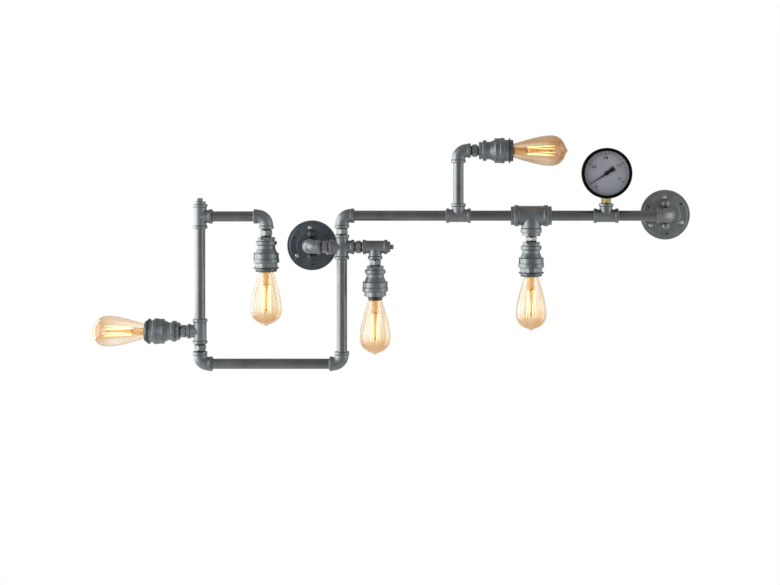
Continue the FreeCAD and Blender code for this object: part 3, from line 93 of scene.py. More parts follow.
# leaves the piece in edit mode with just the faces that pass the test selected
def selectFaces(piece, test):
    pick(piece)
    bpy.ops.object.mode_set(mode="EDIT")
    bpy.ops.mesh.select_mode(type="FACE")
    bpy.ops.mesh.select_all(action="DESELECT")
    bpy.ops.object.mode_set(mode="OBJECT")
    for face in piece.data.polygons:
        face.select = test(face)
    bpy.ops.object.mode_set(mode="EDIT")


def tidyMesh(piece, angle=35):
    pick(piece)
    bpy.ops.object.mode_set(mode="EDIT")
    bpy.ops.mesh.select_all(action="SELECT")
    bpy.ops.mesh.remove_doubles(threshold=0.005 * mm)
    bpy.ops.mesh.normals_make_consistent(inside=False)
    bpy.ops.object.mode_set(mode="OBJECT")
    bpy.ops.object.shade_smooth_by_angle(angle=math.radians(angle))


# a lathe shape along Z, ring by ring: profile is (radius, height) in mm, and radius 0 closes a pole
def turnProfile(name, profile, sides=64):
    points = [(r * mm, z * mm) for r, z in profile]
    startClosed = points[0][0] == 0
    if startClosed:
        points = points[1:]
    radius, height = points[0]
    clearSelection()
    bpy.ops.mesh.primitive_circle_add(vertices=sides, radius=radius, location=(0, 0, 0))
    piece = named(bpy.context.object, name)
    bpy.ops.object.mode_set(mode="EDIT")
    bpy.ops.mesh.select_all(action="SELECT")
    bpy.ops.transform.translate(value=(0, 0, height))
    if startClosed:
        bpy.ops.mesh.edge_face_add()
        bpy.ops.mesh.poke()
        bpy.ops.mesh.select_mode(type="VERT")
        bpy.ops.mesh.select_all(action="DESELECT")
        bpy.ops.object.mode_set(mode="OBJECT")
        halfway = radius / 2  # only the new pole lies nearer the axis than this
        for edge in piece.data.edges:
            ends = [piece.data.vertices[i].co.xy.length for i in edge.vertices]
            edge.select = min(ends) > halfway
        for vertex in piece.data.vertices:
            vertex.select = vertex.co.xy.length > halfway
            if not vertex.select:
                vertex.co.z = profile[0][1] * mm
        bpy.ops.object.mode_set(mode="EDIT")
    bpy.ops.mesh.select_mode(type="EDGE")
    for r, z in points[1:]:
        bpy.ops.mesh.extrude_edges_move(TRANSFORM_OT_translate={"value": (0, 0, z - height)})
        if r == 0:
            bpy.ops.mesh.merge(type="CENTER")
        elif r != radius:
            share = r / radius
            bpy.ops.transform.resize(value=(share, share, 1), center_override=(0, 0, z))
        radius, height = r, z
    bpy.ops.object.mode_set(mode="OBJECT")
    return piece


# the matrix that stands a piece up: +Z goes to out and +X to side
def standing(out, side):
    return Matrix((side, out.cross(side), out)).transposed().to_4x4()


# a side square to out: up where out lies across, else the one given
def sideOf(out, given=right):
    return up if abs(out.x) > 0.5 else given


# moves a piece made at the origin to its place in mm and bakes that into its mesh
def settle(piece, place, stand):
    pick(piece)
    piece.matrix_world = Matrix.Translation(Vector(place) * mm) @ stand @ piece.matrix_world
    bpy.ops.object.transform_apply(location=True, rotation=True, scale=True)
    return piece


def copyOf(master, name, place, stand):
    pick(master)
    bpy.ops.object.duplicate(linked=False)
    return settle(named(bpy.context.object, name), place, stand)


def finishPiece(piece, body, material, replaced=()):
    piece.data.materials.clear()
    piece.data.materials.append(material)
    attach(piece, body)
    if replaced:
        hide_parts(*replaced)


cameraView = {
    "place": (0.3747, -2.916, 0.1586),
    "lens": 63.8,
    "sensor": 36,
    "shiftX": -0.128,
    "shiftY": -0.157,
}
cameraData = bpy.data.cameras.new("viewCamera")
camera = bpy.data.objects.new("viewCamera", cameraData)
bpy.context.scene.collection.objects.link(camera)
camera.location = cameraView["place"]
camera.rotation_euler = (math.radians(90), 0, 0)
cameraData.lens = cameraView["lens"]
cameraData.sensor_width = cameraView["sensor"]
cameraData.shift_x = cameraView["shiftX"]
cameraData.shift_y = cameraView["shiftY"]
bpy.context.scene.camera = camera
bpy.context.scene.view_settings.view_transform = "Standard"

studio = {
    "lights": [
        # name, place, what it faces, width, height, brightness of its face
        ("leftSoftbox", (-2.1, 0.0, 0.15), (0.2, 0.0, 0.0), 3.4, 2.6, 4.2),
        ("rightSoftbox", (2.7, -0.3, 0.15), (0.4, 0.0, 0.0), 2.6, 2.6, 1.45),
        ("leftFill", (-1.4, -1.7, -0.1), (-0.1, 0.0, -0.1), 1.5, 1.5, 1.1),
    ],
    # the white around the light: what plain rays see, and gloss looking up, down and to the front
    "plainLevel": 0.60,
    "upLevel": 0.56,
    "downLevel": 0.95,
    "frontLevel": 0.70,
    "heightSpan": (-0.8, 0.8),  # the level changes while a ray's Z, or its Y, is between these
    "frontSpan": (-1.0, -0.3),
    "floorPlace": (0.27, -0.1, -1.0),
    "floorSize": (3.4, 1.7, 1),
    "floorColour": (0.80, 0.80, 0.79, 1),
    "floorRough": 0.9,
}


def addSoftbox(name, place, target, width, height, brightness):
    data = bpy.data.lights.new(name, "AREA")
    data.shape = "RECTANGLE"
    data.size = width
    data.size_y = height
    data.energy = brightness * math.pi * width * height
    box = bpy.data.objects.new(name, data)
    bpy.context.scene.collection.objects.link(box)
    box.location = place
    away = Vector(place) - Vector(target)
    box.rotation_euler = away.to_track_quat("Z", "Y").to_euler()
    box.visible_camera = False


for light in studio["lights"]:
    addSoftbox(*light)


def mathIn(tree, operation, first, second=0.0, clamp=False):
    node = tree.nodes.new("ShaderNodeMath")
    node.operation = operation
    node.use_clamp = clamp
    for socket, value in zip(node.inputs, (first, second)):
        if isinstance(value, (int, float)):
            socket.default_value = value
        else:
            tree.links.new(value, socket)
    return node.outputs[0]


def spread(tree, value, low, high, span=(0.3, 0.7), smooth=False):
    node = tree.nodes.new("ShaderNodeMapRange")
    if smooth:
        node.interpolation_type = "SMOOTHSTEP"
    tree.links.new(value, node.inputs["Value"])
    node.inputs["From Min"].default_value = span[0]
    node.inputs["From Max"].default_value = span[1]
    node.inputs["To Min"].default_value = low
    node.inputs["To Max"].default_value = high
    return node.outputs[0]


world = bpy.data.worlds.new("studioWorld")
bpy.context.scene.world = world
world.use_nodes = True
sky = world.node_tree
background = sky.nodes["Background"]

# the white background shows to the camera and through glass; gloss sees it fall off above and in front
rays = sky.nodes.new("ShaderNodeLightPath")
direction = sky.nodes.new("ShaderNodeTexCoord")
directionParts = sky.nodes.new("ShaderNodeSeparateXYZ")
sky.links.new(direction.outputs["Generated"], directionParts.inputs[0])
downLevel, upLevel, frontLevel = studio["downLevel"], studio["upLevel"], studio["frontLevel"]
byHeight = spread(sky, directionParts.outputs["Z"], downLevel, upLevel, studio["heightSpan"], True)
byFront = spread(sky, directionParts.outputs["Y"], frontLevel, 1.0, studio["frontSpan"], True)
glossLevel = mathIn(sky, "MULTIPLY", byHeight, byFront)
clearView = mathIn(sky, "MAXIMUM", rays.outputs["Is Camera Ray"], rays.outputs["Is Transmission Ray"])
plainLevel = studio["plainLevel"]
glossStep = mathIn(sky, "SUBTRACT", glossLevel, plainLevel)
glossPart = mathIn(sky, "MULTIPLY", rays.outputs["Is Glossy Ray"], glossStep)
clearPart = mathIn(sky, "MULTIPLY", clearView, 1 - plainLevel)
level = mathIn(sky, "ADD", mathIn(sky, "ADD", glossPart, clearPart), plainLevel)
sky.links.new(mathIn(sky, "MINIMUM", level, 1.0), background.inputs["Strength"])
background.inputs["Color"].default_value = (1, 1, 1, 1)

clearSelection()
bpy.ops.mesh.primitive_plane_add(size=1, location=(0, 0, 0))
floor = named(bpy.context.object, "studioFloor")
floor.scale = studio["floorSize"]
floor.location = studio["floorPlace"]
bpy.ops.object.transform_apply(location=True, rotation=True, scale=True)
print("camera and studio ready")


def newGroup(name, sockets):
    group = bpy.data.node_groups.new(name, "ShaderNodeTree")
    for socketName, inOut, kind, value in sockets:
        socket = group.interface.new_socket(name=socketName, in_out=inOut, socket_type=kind)
        if value is not None:
            socket.default_value = value
    start = group.nodes.new("NodeGroupInput")
    end = group.nodes.new("NodeGroupOutput")
    return group, start, end


# cast grain: a slow mottle and a fine grit, both over the piece's own coordinates
grainLook = {
    "noises": [("Mottle", "Mottle Scale", 4.0), ("Grit", "Grit Scale", 2.0)],  # output, scale input, detail
    "roughness": 0.6,
}
castGrain, grainStart, grainEnd = newGroup("castGrain", [
    ("Mottle Scale", "INPUT", "NodeSocketFloat", 30.0),
    ("Grit Scale", "INPUT", "NodeSocketFloat", 600.0),
    ("Mottle", "OUTPUT", "NodeSocketFloat", None),
    ("Grit", "OUTPUT", "NodeSocketFloat", None),
])
grainPlace = castGrain.nodes.new("ShaderNodeTexCoord")
for noiseOutput, scaleName, detail in grainLook["noises"]:
    noise = castGrain.nodes.new("ShaderNodeTexNoise")
    noise.inputs["Detail"].default_value = detail
    noise.inputs["Roughness"].default_value = grainLook["roughness"]
    castGrain.links.new(grainPlace.outputs["Object"], noise.inputs["Vector"])
    castGrain.links.new(grainStart.outputs[scaleName], noise.inputs["Scale"])
    castGrain.links.new(noise.outputs["Fac"], grainEnd.inputs[noiseOutput])

# edge wear: where a rounded-over normal leaves the true one, broken up by the mottle
wearLook = {"samples": 4, "gain": 6.0, "patchGain": 1.6}
edgeWear, wearStart, wearEnd = newGroup("edgeWear", [
    ("Width", "INPUT", "NodeSocketFloat", 0.0008),
    ("Break Up", "INPUT", "NodeSocketFloat", 0.5),
    ("Edge", "OUTPUT", "NodeSocketFloat", None),
])
rounded = edgeWear.nodes.new("ShaderNodeBevel")
rounded.samples = wearLook["samples"]
edgeWear.links.new(wearStart.outputs["Width"], rounded.inputs["Radius"])
trueSide = edgeWear.nodes.new("ShaderNodeNewGeometry")
meeting = edgeWear.nodes.new("ShaderNodeVectorMath")
meeting.operation = "DOT_PRODUCT"
edgeWear.links.new(rounded.outputs["Normal"], meeting.inputs[0])
edgeWear.links.new(trueSide.outputs["Normal"], meeting.inputs[1])
apart = mathIn(edgeWear, "SUBTRACT", 1.0, meeting.outputs["Value"])
strong = mathIn(edgeWear, "MULTIPLY", apart, wearLook["gain"], True)
patchy = mathIn(edgeWear, "MULTIPLY", wearStart.outputs["Break Up"], wearLook["patchGain"], True)
edgeWear.links.new(mathIn(edgeWear, "MULTIPLY", strong, patchy, True), wearEnd.inputs["Edge"])


def mixColour(tree, share, first, second):
    mix = tree.nodes.new("ShaderNodeMix")
    mix.data_type = "RGBA"
    sockets = [s for s in mix.inputs if s.type == "RGBA"]
    for socket, value in zip(sockets, (first, second)):
        if isinstance(value, tuple):
            socket.default_value = (*value, 1.0)
        else:
            tree.links.new(value, socket)
    factor = next(s for s in mix.inputs if s.name == "Factor" and s.type == "VALUE")
    tree.links.new(share, factor)
    return next(s for s in mix.outputs if s.type == "RGBA")


def newFinish(name):
    material = bpy.data.materials.new(name)
    material.use_nodes = True
    tree = material.node_tree
    return material, tree, tree.nodes["Principled BSDF"]


def grainIn(tree, mottle, grit=600.0):
    grain = tree.nodes.new("ShaderNodeGroup")
    grain.node_tree = castGrain
    grain.inputs["Mottle Scale"].default_value = mottle
    grain.inputs["Grit Scale"].default_value = grit
    return grain.outputs["Mottle"], grain.outputs["Grit"]


def bumpIn(tree, shader, height, strength, depth):
    bump = tree.nodes.new("ShaderNodeBump")
    bump.inputs["Strength"].default_value = strength
    bump.inputs["Distance"].default_value = depth * mm
    tree.links.new(height, bump.inputs["Height"])
    tree.links.new(bump.outputs["Normal"], shader.inputs["Normal"])


# what a solid finish has where its own entry says nothing else; widths and depths in mm
usualLook = {
    "mottle": 30.0,
    "grit": 700.0,
    "edgeWidth": 0.8,
    "metal": 1.0,
    "specular": 0.5,
    "bump": 0.25,
    "bumpDepth": 0.15,
}


# a solid finish: two tones over the mottle, worn edges, gritty roughness and a fine bump
def grainedFinish(name, ownLook):
    look = {**usualLook, **ownLook}
    material, tree, shader = newFinish(name)
    mottle, grit = grainIn(tree, look["mottle"], look["grit"])
    tone = spread(tree, mottle, 0.0, 1.0)
    colour = mixColour(tree, tone, look["dark"], look["light"])
    if "edge" in look:
        wear = tree.nodes.new("ShaderNodeGroup")
        wear.node_tree = edgeWear
        wear.inputs["Width"].default_value = look["edgeWidth"] * mm
        tree.links.new(mottle, wear.inputs["Break Up"])
        colour = mixColour(tree, wear.outputs["Edge"], colour, look["edge"])
    tree.links.new(colour, shader.inputs["Base Color"])
    tree.links.new(spread(tree, mottle, *look["rough"]), shader.inputs["Roughness"])
    shader.inputs["Metallic"].default_value = look["metal"]
    shader.inputs["Specular IOR Level"].default_value = look["specular"]
    bumpIn(tree, shader, grit, look["bump"], look["bumpDepth"])
    return material


finishes = {
    "pipeSteel": {"dark": (0.122, 0.127, 0.134), "light": (0.168, 0.173, 0.180),
                  "edge": (0.26, 0.27, 0.28), "rough": (0.27, 0.40), "mottle": 22.0, "grit": 900.0,
                  "bump": 0.10},
    "fittingIron": {"dark": (0.140, 0.151, 0.158), "light": (0.205, 0.216, 0.222),
                    "edge": (0.36, 0.37, 0.38), "rough": (0.34, 0.50), "mottle": 55.0, "grit": 650.0,
                    "bump": 0.35, "bumpDepth": 0.25},
    "socketIron": {"dark": (0.118, 0.136, 0.142), "light": (0.195, 0.213, 0.219),
                   "edge": (0.38, 0.39, 0.40), "rough": (0.32, 0.46), "mottle": 48.0, "grit": 600.0,
                   "bump": 0.35, "bumpDepth": 0.25},
    # the two flanges are one cast iron in two tones: the left one darker as painted shade, the right one
    # lighter as painted light
    "leftFlangePaintedLightIron": {"dark": (0.062, 0.074, 0.088), "light": (0.110, 0.124, 0.142),
                       "edge": (0.22, 0.23, 0.24), "rough": (0.36, 0.52), "mottle": 45.0, "grit": 550.0,
                       "bump": 0.35, "bumpDepth": 0.25},
    "rightFlangePaintedLightIron": {"dark": (0.165, 0.176, 0.180), "light": (0.235, 0.247, 0.252),
                        "edge": (0.32, 0.33, 0.34), "rough": (0.36, 0.52), "mottle": 45.0, "grit": 550.0,
                        "bump": 0.35, "bumpDepth": 0.25},
    # near black: painted shade for the dark inside the flanges' spare holes
    "plugBlack": {"dark": (0.004, 0.004, 0.005), "light": (0.010, 0.010, 0.011), "rough": (0.5, 0.65),
                  "metal": 0.0, "mottle": 150.0},
    "zincSheet": {"dark": (0.36, 0.37, 0.38), "light": (0.50, 0.51, 0.52), "rough": (0.30, 0.42),
                  "mottle": 120.0},
    "brightScrew": {"dark": (0.30, 0.31, 0.32), "light": (0.48, 0.49, 0.50), "edge": (0.75, 0.75, 0.75),
                    "rough": (0.22, 0.34), "mottle": 200.0, "grit": 1500.0, "bump": 0.05},
    "brightZinc": {"dark": (0.26, 0.27, 0.27), "light": (0.38, 0.39, 0.39), "edge": (0.55, 0.56, 0.56),
                   "rough": (0.42, 0.56), "mottle": 160.0, "grit": 1500.0, "bump": 0.05},
    "blackBakelite": {"dark": (0.010, 0.010, 0.011), "light": (0.020, 0.020, 0.021),
                      "rough": (0.28, 0.40), "metal": 0.0, "mottle": 90.0, "grit": 1200.0, "bump": 0.06},
    "ringIron": {"dark": (0.085, 0.093, 0.098), "light": (0.150, 0.160, 0.166),
                 "edge": (0.45, 0.46, 0.47), "edgeWidth": 0.35, "rough": (0.28, 0.42), "mottle": 60.0,
                 "grit": 900.0, "bump": 0.15},
    "contactBrass": {"dark": (0.60, 0.43, 0.16), "light": (0.75, 0.56, 0.25), "rough": (0.25, 0.38),
                     "mottle": 150.0},
    "capNickel": {"dark": (0.48, 0.45, 0.40), "light": (0.66, 0.63, 0.58), "rough": (0.20, 0.34),
                  "mottle": 170.0},
    "capFoot": {"dark": (0.020, 0.019, 0.020), "light": (0.060, 0.058, 0.060), "rough": (0.22, 0.34),
                "metal": 0.0, "mottle": 240.0},
    "connectorBrass": {"dark": (0.085, 0.070, 0.026), "light": (0.230, 0.190, 0.085),
                       "edge": (0.60, 0.53, 0.34), "edgeWidth": 0.4, "rough": (0.16, 0.26),
                       "mottle": 90.0, "grit": 1300.0, "bump": 0.06},
    "caseSteel": {"dark": (0.020, 0.021, 0.022), "light": (0.034, 0.035, 0.036),
                  "edge": (0.08, 0.08, 0.08), "rough": (0.28, 0.42), "metal": 0.0, "mottle": 60.0,
                  "grit": 900.0, "bump": 0.15},
    "ringBlack": {"dark": (0.0010, 0.0013, 0.0015), "light": (0.0026, 0.0030, 0.0032),
                  "rough": (0.30, 0.42), "metal": 0.0, "specular": 0.06, "mottle": 70.0, "grit": 1100.0,
                  "bump": 0.05},
    "dialEnamel": {"dark": (0.345, 0.362, 0.412), "light": (0.420, 0.440, 0.480), "rough": (0.55, 0.68),
                   "metal": 0.0, "mottle": 26.0, "grit": 1800.0, "bump": 0.04},
    "dialPrint": {"dark": (0.006, 0.006, 0.009), "light": (0.014, 0.014, 0.018), "rough": (0.5, 0.62),
                  "metal": 0.0, "specular": 0.15, "mottle": 300.0},
    "needleBlack": {"dark": (0.002, 0.002, 0.003), "light": (0.005, 0.005, 0.006), "rough": (0.45, 0.6),
                    "metal": 0.0, "specular": 0.10, "mottle": 200.0},
    "movementBrass": {"dark": (0.55, 0.40, 0.15), "light": (0.72, 0.55, 0.25), "rough": (0.25, 0.36),
                      "mottle": 120.0},
    "wireSteel": {"dark": (0.30, 0.27, 0.23), "light": (0.45, 0.42, 0.36), "rough": (0.28, 0.40),
                  "mottle": 300.0},
    "cableSheath": {"dark": (0.020, 0.020, 0.021), "light": (0.040, 0.040, 0.042), "rough": (0.45, 0.6),
                    "metal": 0.0, "mottle": 110.0},
}
materials = {name: grainedFinish(name, look) for name, look in finishes.items()}

blownGlass = {
    "streakSpan": (0.38, 0.62),
    "streakDetail": 2.0,
    "crownSpan": (0.56, 0.68),  # where the crown's tint sets in, in the alongGlass measure
    "crownShare": 0.8,
    "blend": 0.5,
    "bump": 0.05,
    "bumpDepth": 0.3,
}


# blown glass: paler streaks run along it, and the tint deepens at its crown and towards its outline
def glassFinish(name, look):
    material, tree, shader = newFinish(name)
    along = tree.nodes.new("ShaderNodeAttribute")
    along.attribute_name = "alongGlass"
    streaks = tree.nodes.new("ShaderNodeTexNoise")
    streaks.inputs["Scale"].default_value = look["streaks"]
    streaks.inputs["Detail"].default_value = blownGlass["streakDetail"]
    tree.links.new(along.outputs["Vector"], streaks.inputs["Vector"])
    streak = spread(tree, streaks.outputs["Fac"], 0.0, 1.0, blownGlass["streakSpan"])
    inner = mixColour(tree, streak, look["deep"], look["pale"])
    parts = tree.nodes.new("ShaderNodeSeparateXYZ")
    tree.links.new(along.outputs["Vector"], parts.inputs[0])
    crown = spread(tree, parts.outputs["Z"], 0.0, blownGlass["crownShare"], blownGlass["crownSpan"])
    inner = mixColour(tree, crown, inner, look["crown"])
    side = tree.nodes.new("ShaderNodeLayerWeight")
    side.inputs["Blend"].default_value = blownGlass["blend"]
    outline = mathIn(tree, "POWER", side.outputs["Facing"], look["falloff"])
    tree.links.new(mixColour(tree, outline, inner, look["rim"]), shader.inputs["Base Color"])
    tree.links.new(spread(tree, streaks.outputs["Fac"], 0.0, look["rough"]), shader.inputs["Roughness"])
    shader.inputs["Transmission Weight"].default_value = 1.0
    shader.inputs["IOR"].default_value = look["ior"]
    bumpIn(tree, shader, streaks.outputs["Fac"], blownGlass["bump"], blownGlass["bumpDepth"])
    return material


glasses = {
    "amberGlass": {"deep": (0.885, 0.725, 0.525), "pale": (0.985, 0.950, 0.895),
                   "rim": (0.640, 0.450, 0.280), "crown": (0.830, 0.620, 0.400), "falloff": 2.4,
                   "rough": 0.02, "ior": 1.30, "streaks": 2.0},
    "amberGlassDeep": {"deep": (0.660, 0.470, 0.300), "pale": (0.890, 0.800, 0.670),
                       "rim": (0.430, 0.270, 0.150), "crown": (0.660, 0.450, 0.270), "falloff": 1.8,
                       "rough": 0.02, "ior": 1.30, "streaks": 2.0},
    # the stem's deep orange is painted glow: the filament's light painted into the glass colour
    "stemGlassPaintedGlow": {"deep": (0.840, 0.480, 0.170), "pale": (0.960, 0.700, 0.360),
                  "rim": (0.700, 0.360, 0.120), "crown": (0.900, 0.600, 0.300), "falloff": 2.0,
                  "rough": 0.05, "ior": 1.45, "streaks": 4.0},
}
materials.update({name: glassFinish(name, look) for name, look in glasses.items()})

# the gauge window lets the dial through and keeps a thin haze
window = {
    "mottle": 14.0,
    "dark": (0.030, 0.034, 0.036),
    "light": (0.060, 0.066, 0.068),
    "rough": (0.03, 0.08),
    "alpha": (0.05, 0.09),
}
windowGlass, windowTree, windowShader = newFinish("windowGlass")
haze = grainIn(windowTree, window["mottle"])[0]
windowTone = spread(windowTree, haze, 0.0, 1.0)
windowColour = mixColour(windowTree, windowTone, window["dark"], window["light"])
windowTree.links.new(windowColour, windowShader.inputs["Base Color"])
windowTree.links.new(spread(windowTree, haze, *window["rough"]), windowShader.inputs["Roughness"])
windowTree.links.new(spread(windowTree, haze, *window["alpha"]), windowShader.inputs["Alpha"])
materials["windowGlass"] = windowGlass

glow = {
    "mottle": 160.0,
    "cooler": (1.0, 0.60, 0.22),
    "core": (1.0, 0.80, 0.42),
    "strength": 3.5,
    "dark": (0.5, 0.3, 0.1),
    "light": (0.8, 0.5, 0.2),
    "rough": (0.4, 0.6),
}
filamentGlow, glowTree, glowShader = newFinish("filamentGlow")
glowMottle, glowGrit = grainIn(glowTree, glow["mottle"])
glowTone = spread(glowTree, glowMottle, 0.0, 1.0)
glowColour = mixColour(glowTree, glowTone, glow["cooler"], glow["core"])
glowTree.links.new(glowColour, glowShader.inputs["Emission Color"])
wireColour = mixColour(glowTree, glowTone, glow["dark"], glow["light"])
glowTree.links.new(wireColour, glowShader.inputs["Base Color"])
glowTree.links.new(spread(glowTree, glowGrit, *glow["rough"]), glowShader.inputs["Roughness"])
glowShader.inputs["Emission Strength"].default_value = glow["strength"]
materials["filamentGlow"] = filamentGlow

floorFinish = bpy.data.materials.new("studioFloorPaint")
floorFinish.use_nodes = True
floorShader = floorFinish.node_tree.nodes["Principled BSDF"]
floorShader.inputs["Base Color"].default_value = studio["floorColour"]
floorShader.inputs["Roughness"].default_value = studio["floorRough"]
floor.data.materials.append(floorFinish)

finishOfNode = {
    "left_wall_flange": "leftFlangePaintedLightIron",
    "right_wall_flange": "rightFlangePaintedLightIron",
    "wall_brackets": "zincSheet",
    "flange_fasteners": "brightScrew",
    "lampholder_bodies": "blackBakelite",
    "lampholder_contacts": "contactBrass",
    "gauge_connector": "connectorBrass",
    "gauge_case": "caseSteel",
    "gauge_ring": "ringBlack",
    "gauge_window": "windowGlass",
    "gauge_dial": "dialEnamel",
    "gauge_needle": "needleBlack",
    "gauge_sector": "movementBrass",
    "gauge_movement": "movementBrass",
    "wiring_harness": "cableSheath",
    "end_rings": "ringIron",
}
for pipes in ("wall_nipples", "short_pipes", "long_pipes", "bottom_pipe"):
    finishOfNode[pipes] = "pipeSteel"
for number in lamps:
    finishOfNode["lamp_bell_%d" % number] = "socketIron"
    finishOfNode["bulb_%d_cap" % number] = "capNickel"
    finishOfNode["bulb_%d_contact" % number] = "capFoot"
    finishOfNode["bulb_%d_glass" % number] = lamps[number]["glass"]
    finishOfNode["bulb_%d_filament" % number] = "stemGlassPaintedGlow"
for nodeName, node in nodes.items():
    finish = materials[finishOfNode.get(nodeName, "fittingIron")]
    for materialSlot in node.material_slots:
        materialSlot.material = finish
print("finishes ready")


# heights run along the lamp's own axis in mm, from where its nipple goes in
bulb = {
    "wall": 0.8,
    "sides": 48,
    "stemSides": 40,
    "smoothAngle": 60,
    "streakShare": 4.0,  # how fast the streaks change along the glass, per metre
    # radius and height of the blown envelope, from the cap's rim to the drawn tip
    "envelope": [
        (12.9, 68.2), (13.6, 71.0), (16.0, 75.0), (18.2, 83.0), (21.4, 94.0), (24.9, 106.0), (28.0, 119.0),
        (30.6, 132.0), (31.8, 143.0), (31.9, 152.0), (30.4, 160.5), (26.6, 167.5), (20.6, 173.2),
        (13.6, 177.2), (7.4, 179.6), (4.0, 180.9), (3.0, 182.0), (1.9, 182.9), (0, 183.1),
    ],
    # the pressed glass stem that carries the wires
    "stem": [
        (0, 60.4), (11.0, 60.4), (12.0, 61.6), (9.4, 66.0), (7.6, 72.0), (6.9, 79.0), (6.5, 88.0),
        (5.6, 97.0), (4.2, 106.0), (2.8, 113.0), (2.0, 118.0), (1.7, 124.0), (1.7, 144.0),
        (2.2, 147.0), (2.6, 149.5), (1.8, 151.6), (0, 152.2),
    ],
    "wires": 8,
    "wireRadius": 0.36,
    "lowHeight": 100.0,
    "lowRadius": 8.0,
    "highHeight": 157.0,
    "highRadius": 10.6,
    # the wires that hold the hooks: each bend's distance as a share of its hook's, and its height
    "highBends": [(0.12, 149.0), (0.6, 153.5)],
    "lowBends": [(0.6, 97.5), (0.85, 98.0)],
    "supportRadius": 0.28,
    "leadIn": [(5.2, 0, 70.0), (4.6, 0.2, 82.0), (6.6, 0.1, 92.0)],
    "leadOut": [(-5.2, 0, 70.0), (-4.6, -0.2, 82.0), (-6.4, -1.0, 92.0)],
    "leadRadius": 0.4,
}


# a round wire through points in mm: a bevelled curve made into a mesh
def wireAlong(name, points, radius):
    data = bpy.data.curves.new(name, "CURVE")
    data.dimensions = "3D"
    data.bevel_depth = radius * mm
    data.bevel_resolution = 2
    data.use_fill_caps = True
    spline = data.splines.new("POLY")
    spline.points.add(len(points) - 1)
    for point, place in zip(spline.points, points):
        point.co = (*[c * mm for c in place], 1)
    wire = bpy.data.objects.new(name, data)
    bpy.context.scene.collection.objects.link(wire)
    pick(wire)
    bpy.ops.object.convert(target="MESH")
    return bpy.context.object


def joined(name, pieces):
    clearSelection()
    for piece in pieces:
        piece.select_set(True)
    bpy.context.view_layer.objects.active = pieces[0]
    bpy.ops.object.join()
    return named(bpy.context.object, name)


envelopeMaster = turnProfile("envelopeMaster", bulb["envelope"], bulb["sides"])
applyModifier(envelopeMaster, "SUBSURF", levels=2, render_levels=2)
tidyMesh(envelopeMaster, bulb["smoothAngle"])
applyModifier(envelopeMaster, "SOLIDIFY", thickness=bulb["wall"] * mm, offset=-1, use_even_offset=True)
tidyMesh(envelopeMaster, bulb["smoothAngle"])

stemMaster = turnProfile("stemMaster", bulb["stem"], bulb["stemSides"])
applyModifier(stemMaster, "SUBSURF", levels=1, render_levels=1)
tidyMesh(stemMaster, bulb["smoothAngle"])


# keeps each point's place round and along the glass, so that streaks follow it wherever a copy stands
def markAlong(piece):
    mark = piece.data.attributes.new("alongGlass", "FLOAT_VECTOR", "POINT")
    for vertex, entry in zip(piece.data.vertices, mark.data):
        angle = math.atan2(vertex.co.y, vertex.co.x)
        entry.vector = (math.cos(angle), math.sin(angle), vertex.co.z * bulb["streakShare"])


for master in (envelopeMaster, stemMaster):
    markAlong(master)


def hookRing(radius, height, stepsOn):
    hooks = []
    for k in range(bulb["wires"]):
        angle = 2 * math.pi * (k + stepsOn) / bulb["wires"]
        hooks.append((radius * math.cos(angle), radius * math.sin(angle), height))
    return hooks


# the cage goes up and down between two rings of hooks, the high ones half a step on
lowRing = hookRing(bulb["lowRadius"], bulb["lowHeight"], 0)
highRing = hookRing(bulb["highRadius"], bulb["highHeight"], 0.5)
zigzag = []
for low, high in zip(lowRing, highRing):
    zigzag += [low, high]
cageMaster = wireAlong("cageMaster", zigzag[:-1], bulb["wireRadius"])
tidyMesh(cageMaster, bulb["smoothAngle"])

supports = []
for bends, hooks in (("highBends", highRing[:-1]), ("lowBends", lowRing[1:])):
    for hook in hooks:
        points = [(hook[0] * share, hook[1] * share, height) for share, height in bulb[bends]]
        supports.append(wireAlong("support", points + [hook], bulb["supportRadius"]))
for lead, hook in (("leadIn", lowRing[0]), ("leadOut", lowRing[-1])):
    supports.append(wireAlong(lead, bulb[lead] + [hook], bulb["leadRadius"]))
supportMaster = joined("supportMaster", supports)
tidyMesh(supportMaster, bulb["smoothAngle"])

for number, lamp in lamps.items():
    body = "bulb_%d" % number
    place = Vector(lamp["mouth"]) + lamp["out"] * lamp["span"]
    stand = standing(lamp["out"], sideOf(lamp["out"]))
    glass = copyOf(envelopeMaster, "bulbGlass_%d" % number, place, stand)
    finishPiece(glass, body, materials[lamp["glass"]], [body + "_glass"])
    # the stem's orange tint is painted glow from the filament
    stem = copyOf(stemMaster, "bulbStem_%d" % number, place, stand)
    finishPiece(stem, body, materials["stemGlassPaintedGlow"], [body + "_filament"])
    cage = copyOf(cageMaster, "bulbFilament_%d" % number, place, stand)
    finishPiece(cage, body, materials["filamentGlow"], [body + "_filament"])
    wires = copyOf(supportMaster, "bulbWires_%d" % number, place, stand)
    finishPiece(wires, body, materials["wireSteel"], [body + "_filament"])
for master in (envelopeMaster, stemMaster, cageMaster, supportMaster):
    bpy.data.objects.remove(master)
print("bulbs ready")


nipple = {
    "flats": 22.6,
    "hexagon": 11.0,
    "brightOne": "lampNipple_3",
    "brightHexagon": 7.0,
    "drop": 4.0,  # how far down its corners are turned, and at most what share of its length
    "dropShare": 1 / 2.2,
    "softEdge": 0.3,
    "pitch": 1.814,
    "crest": 10.6,
    "root": 9.75,
    "sides": 56,
    "inside": 2.6,
}


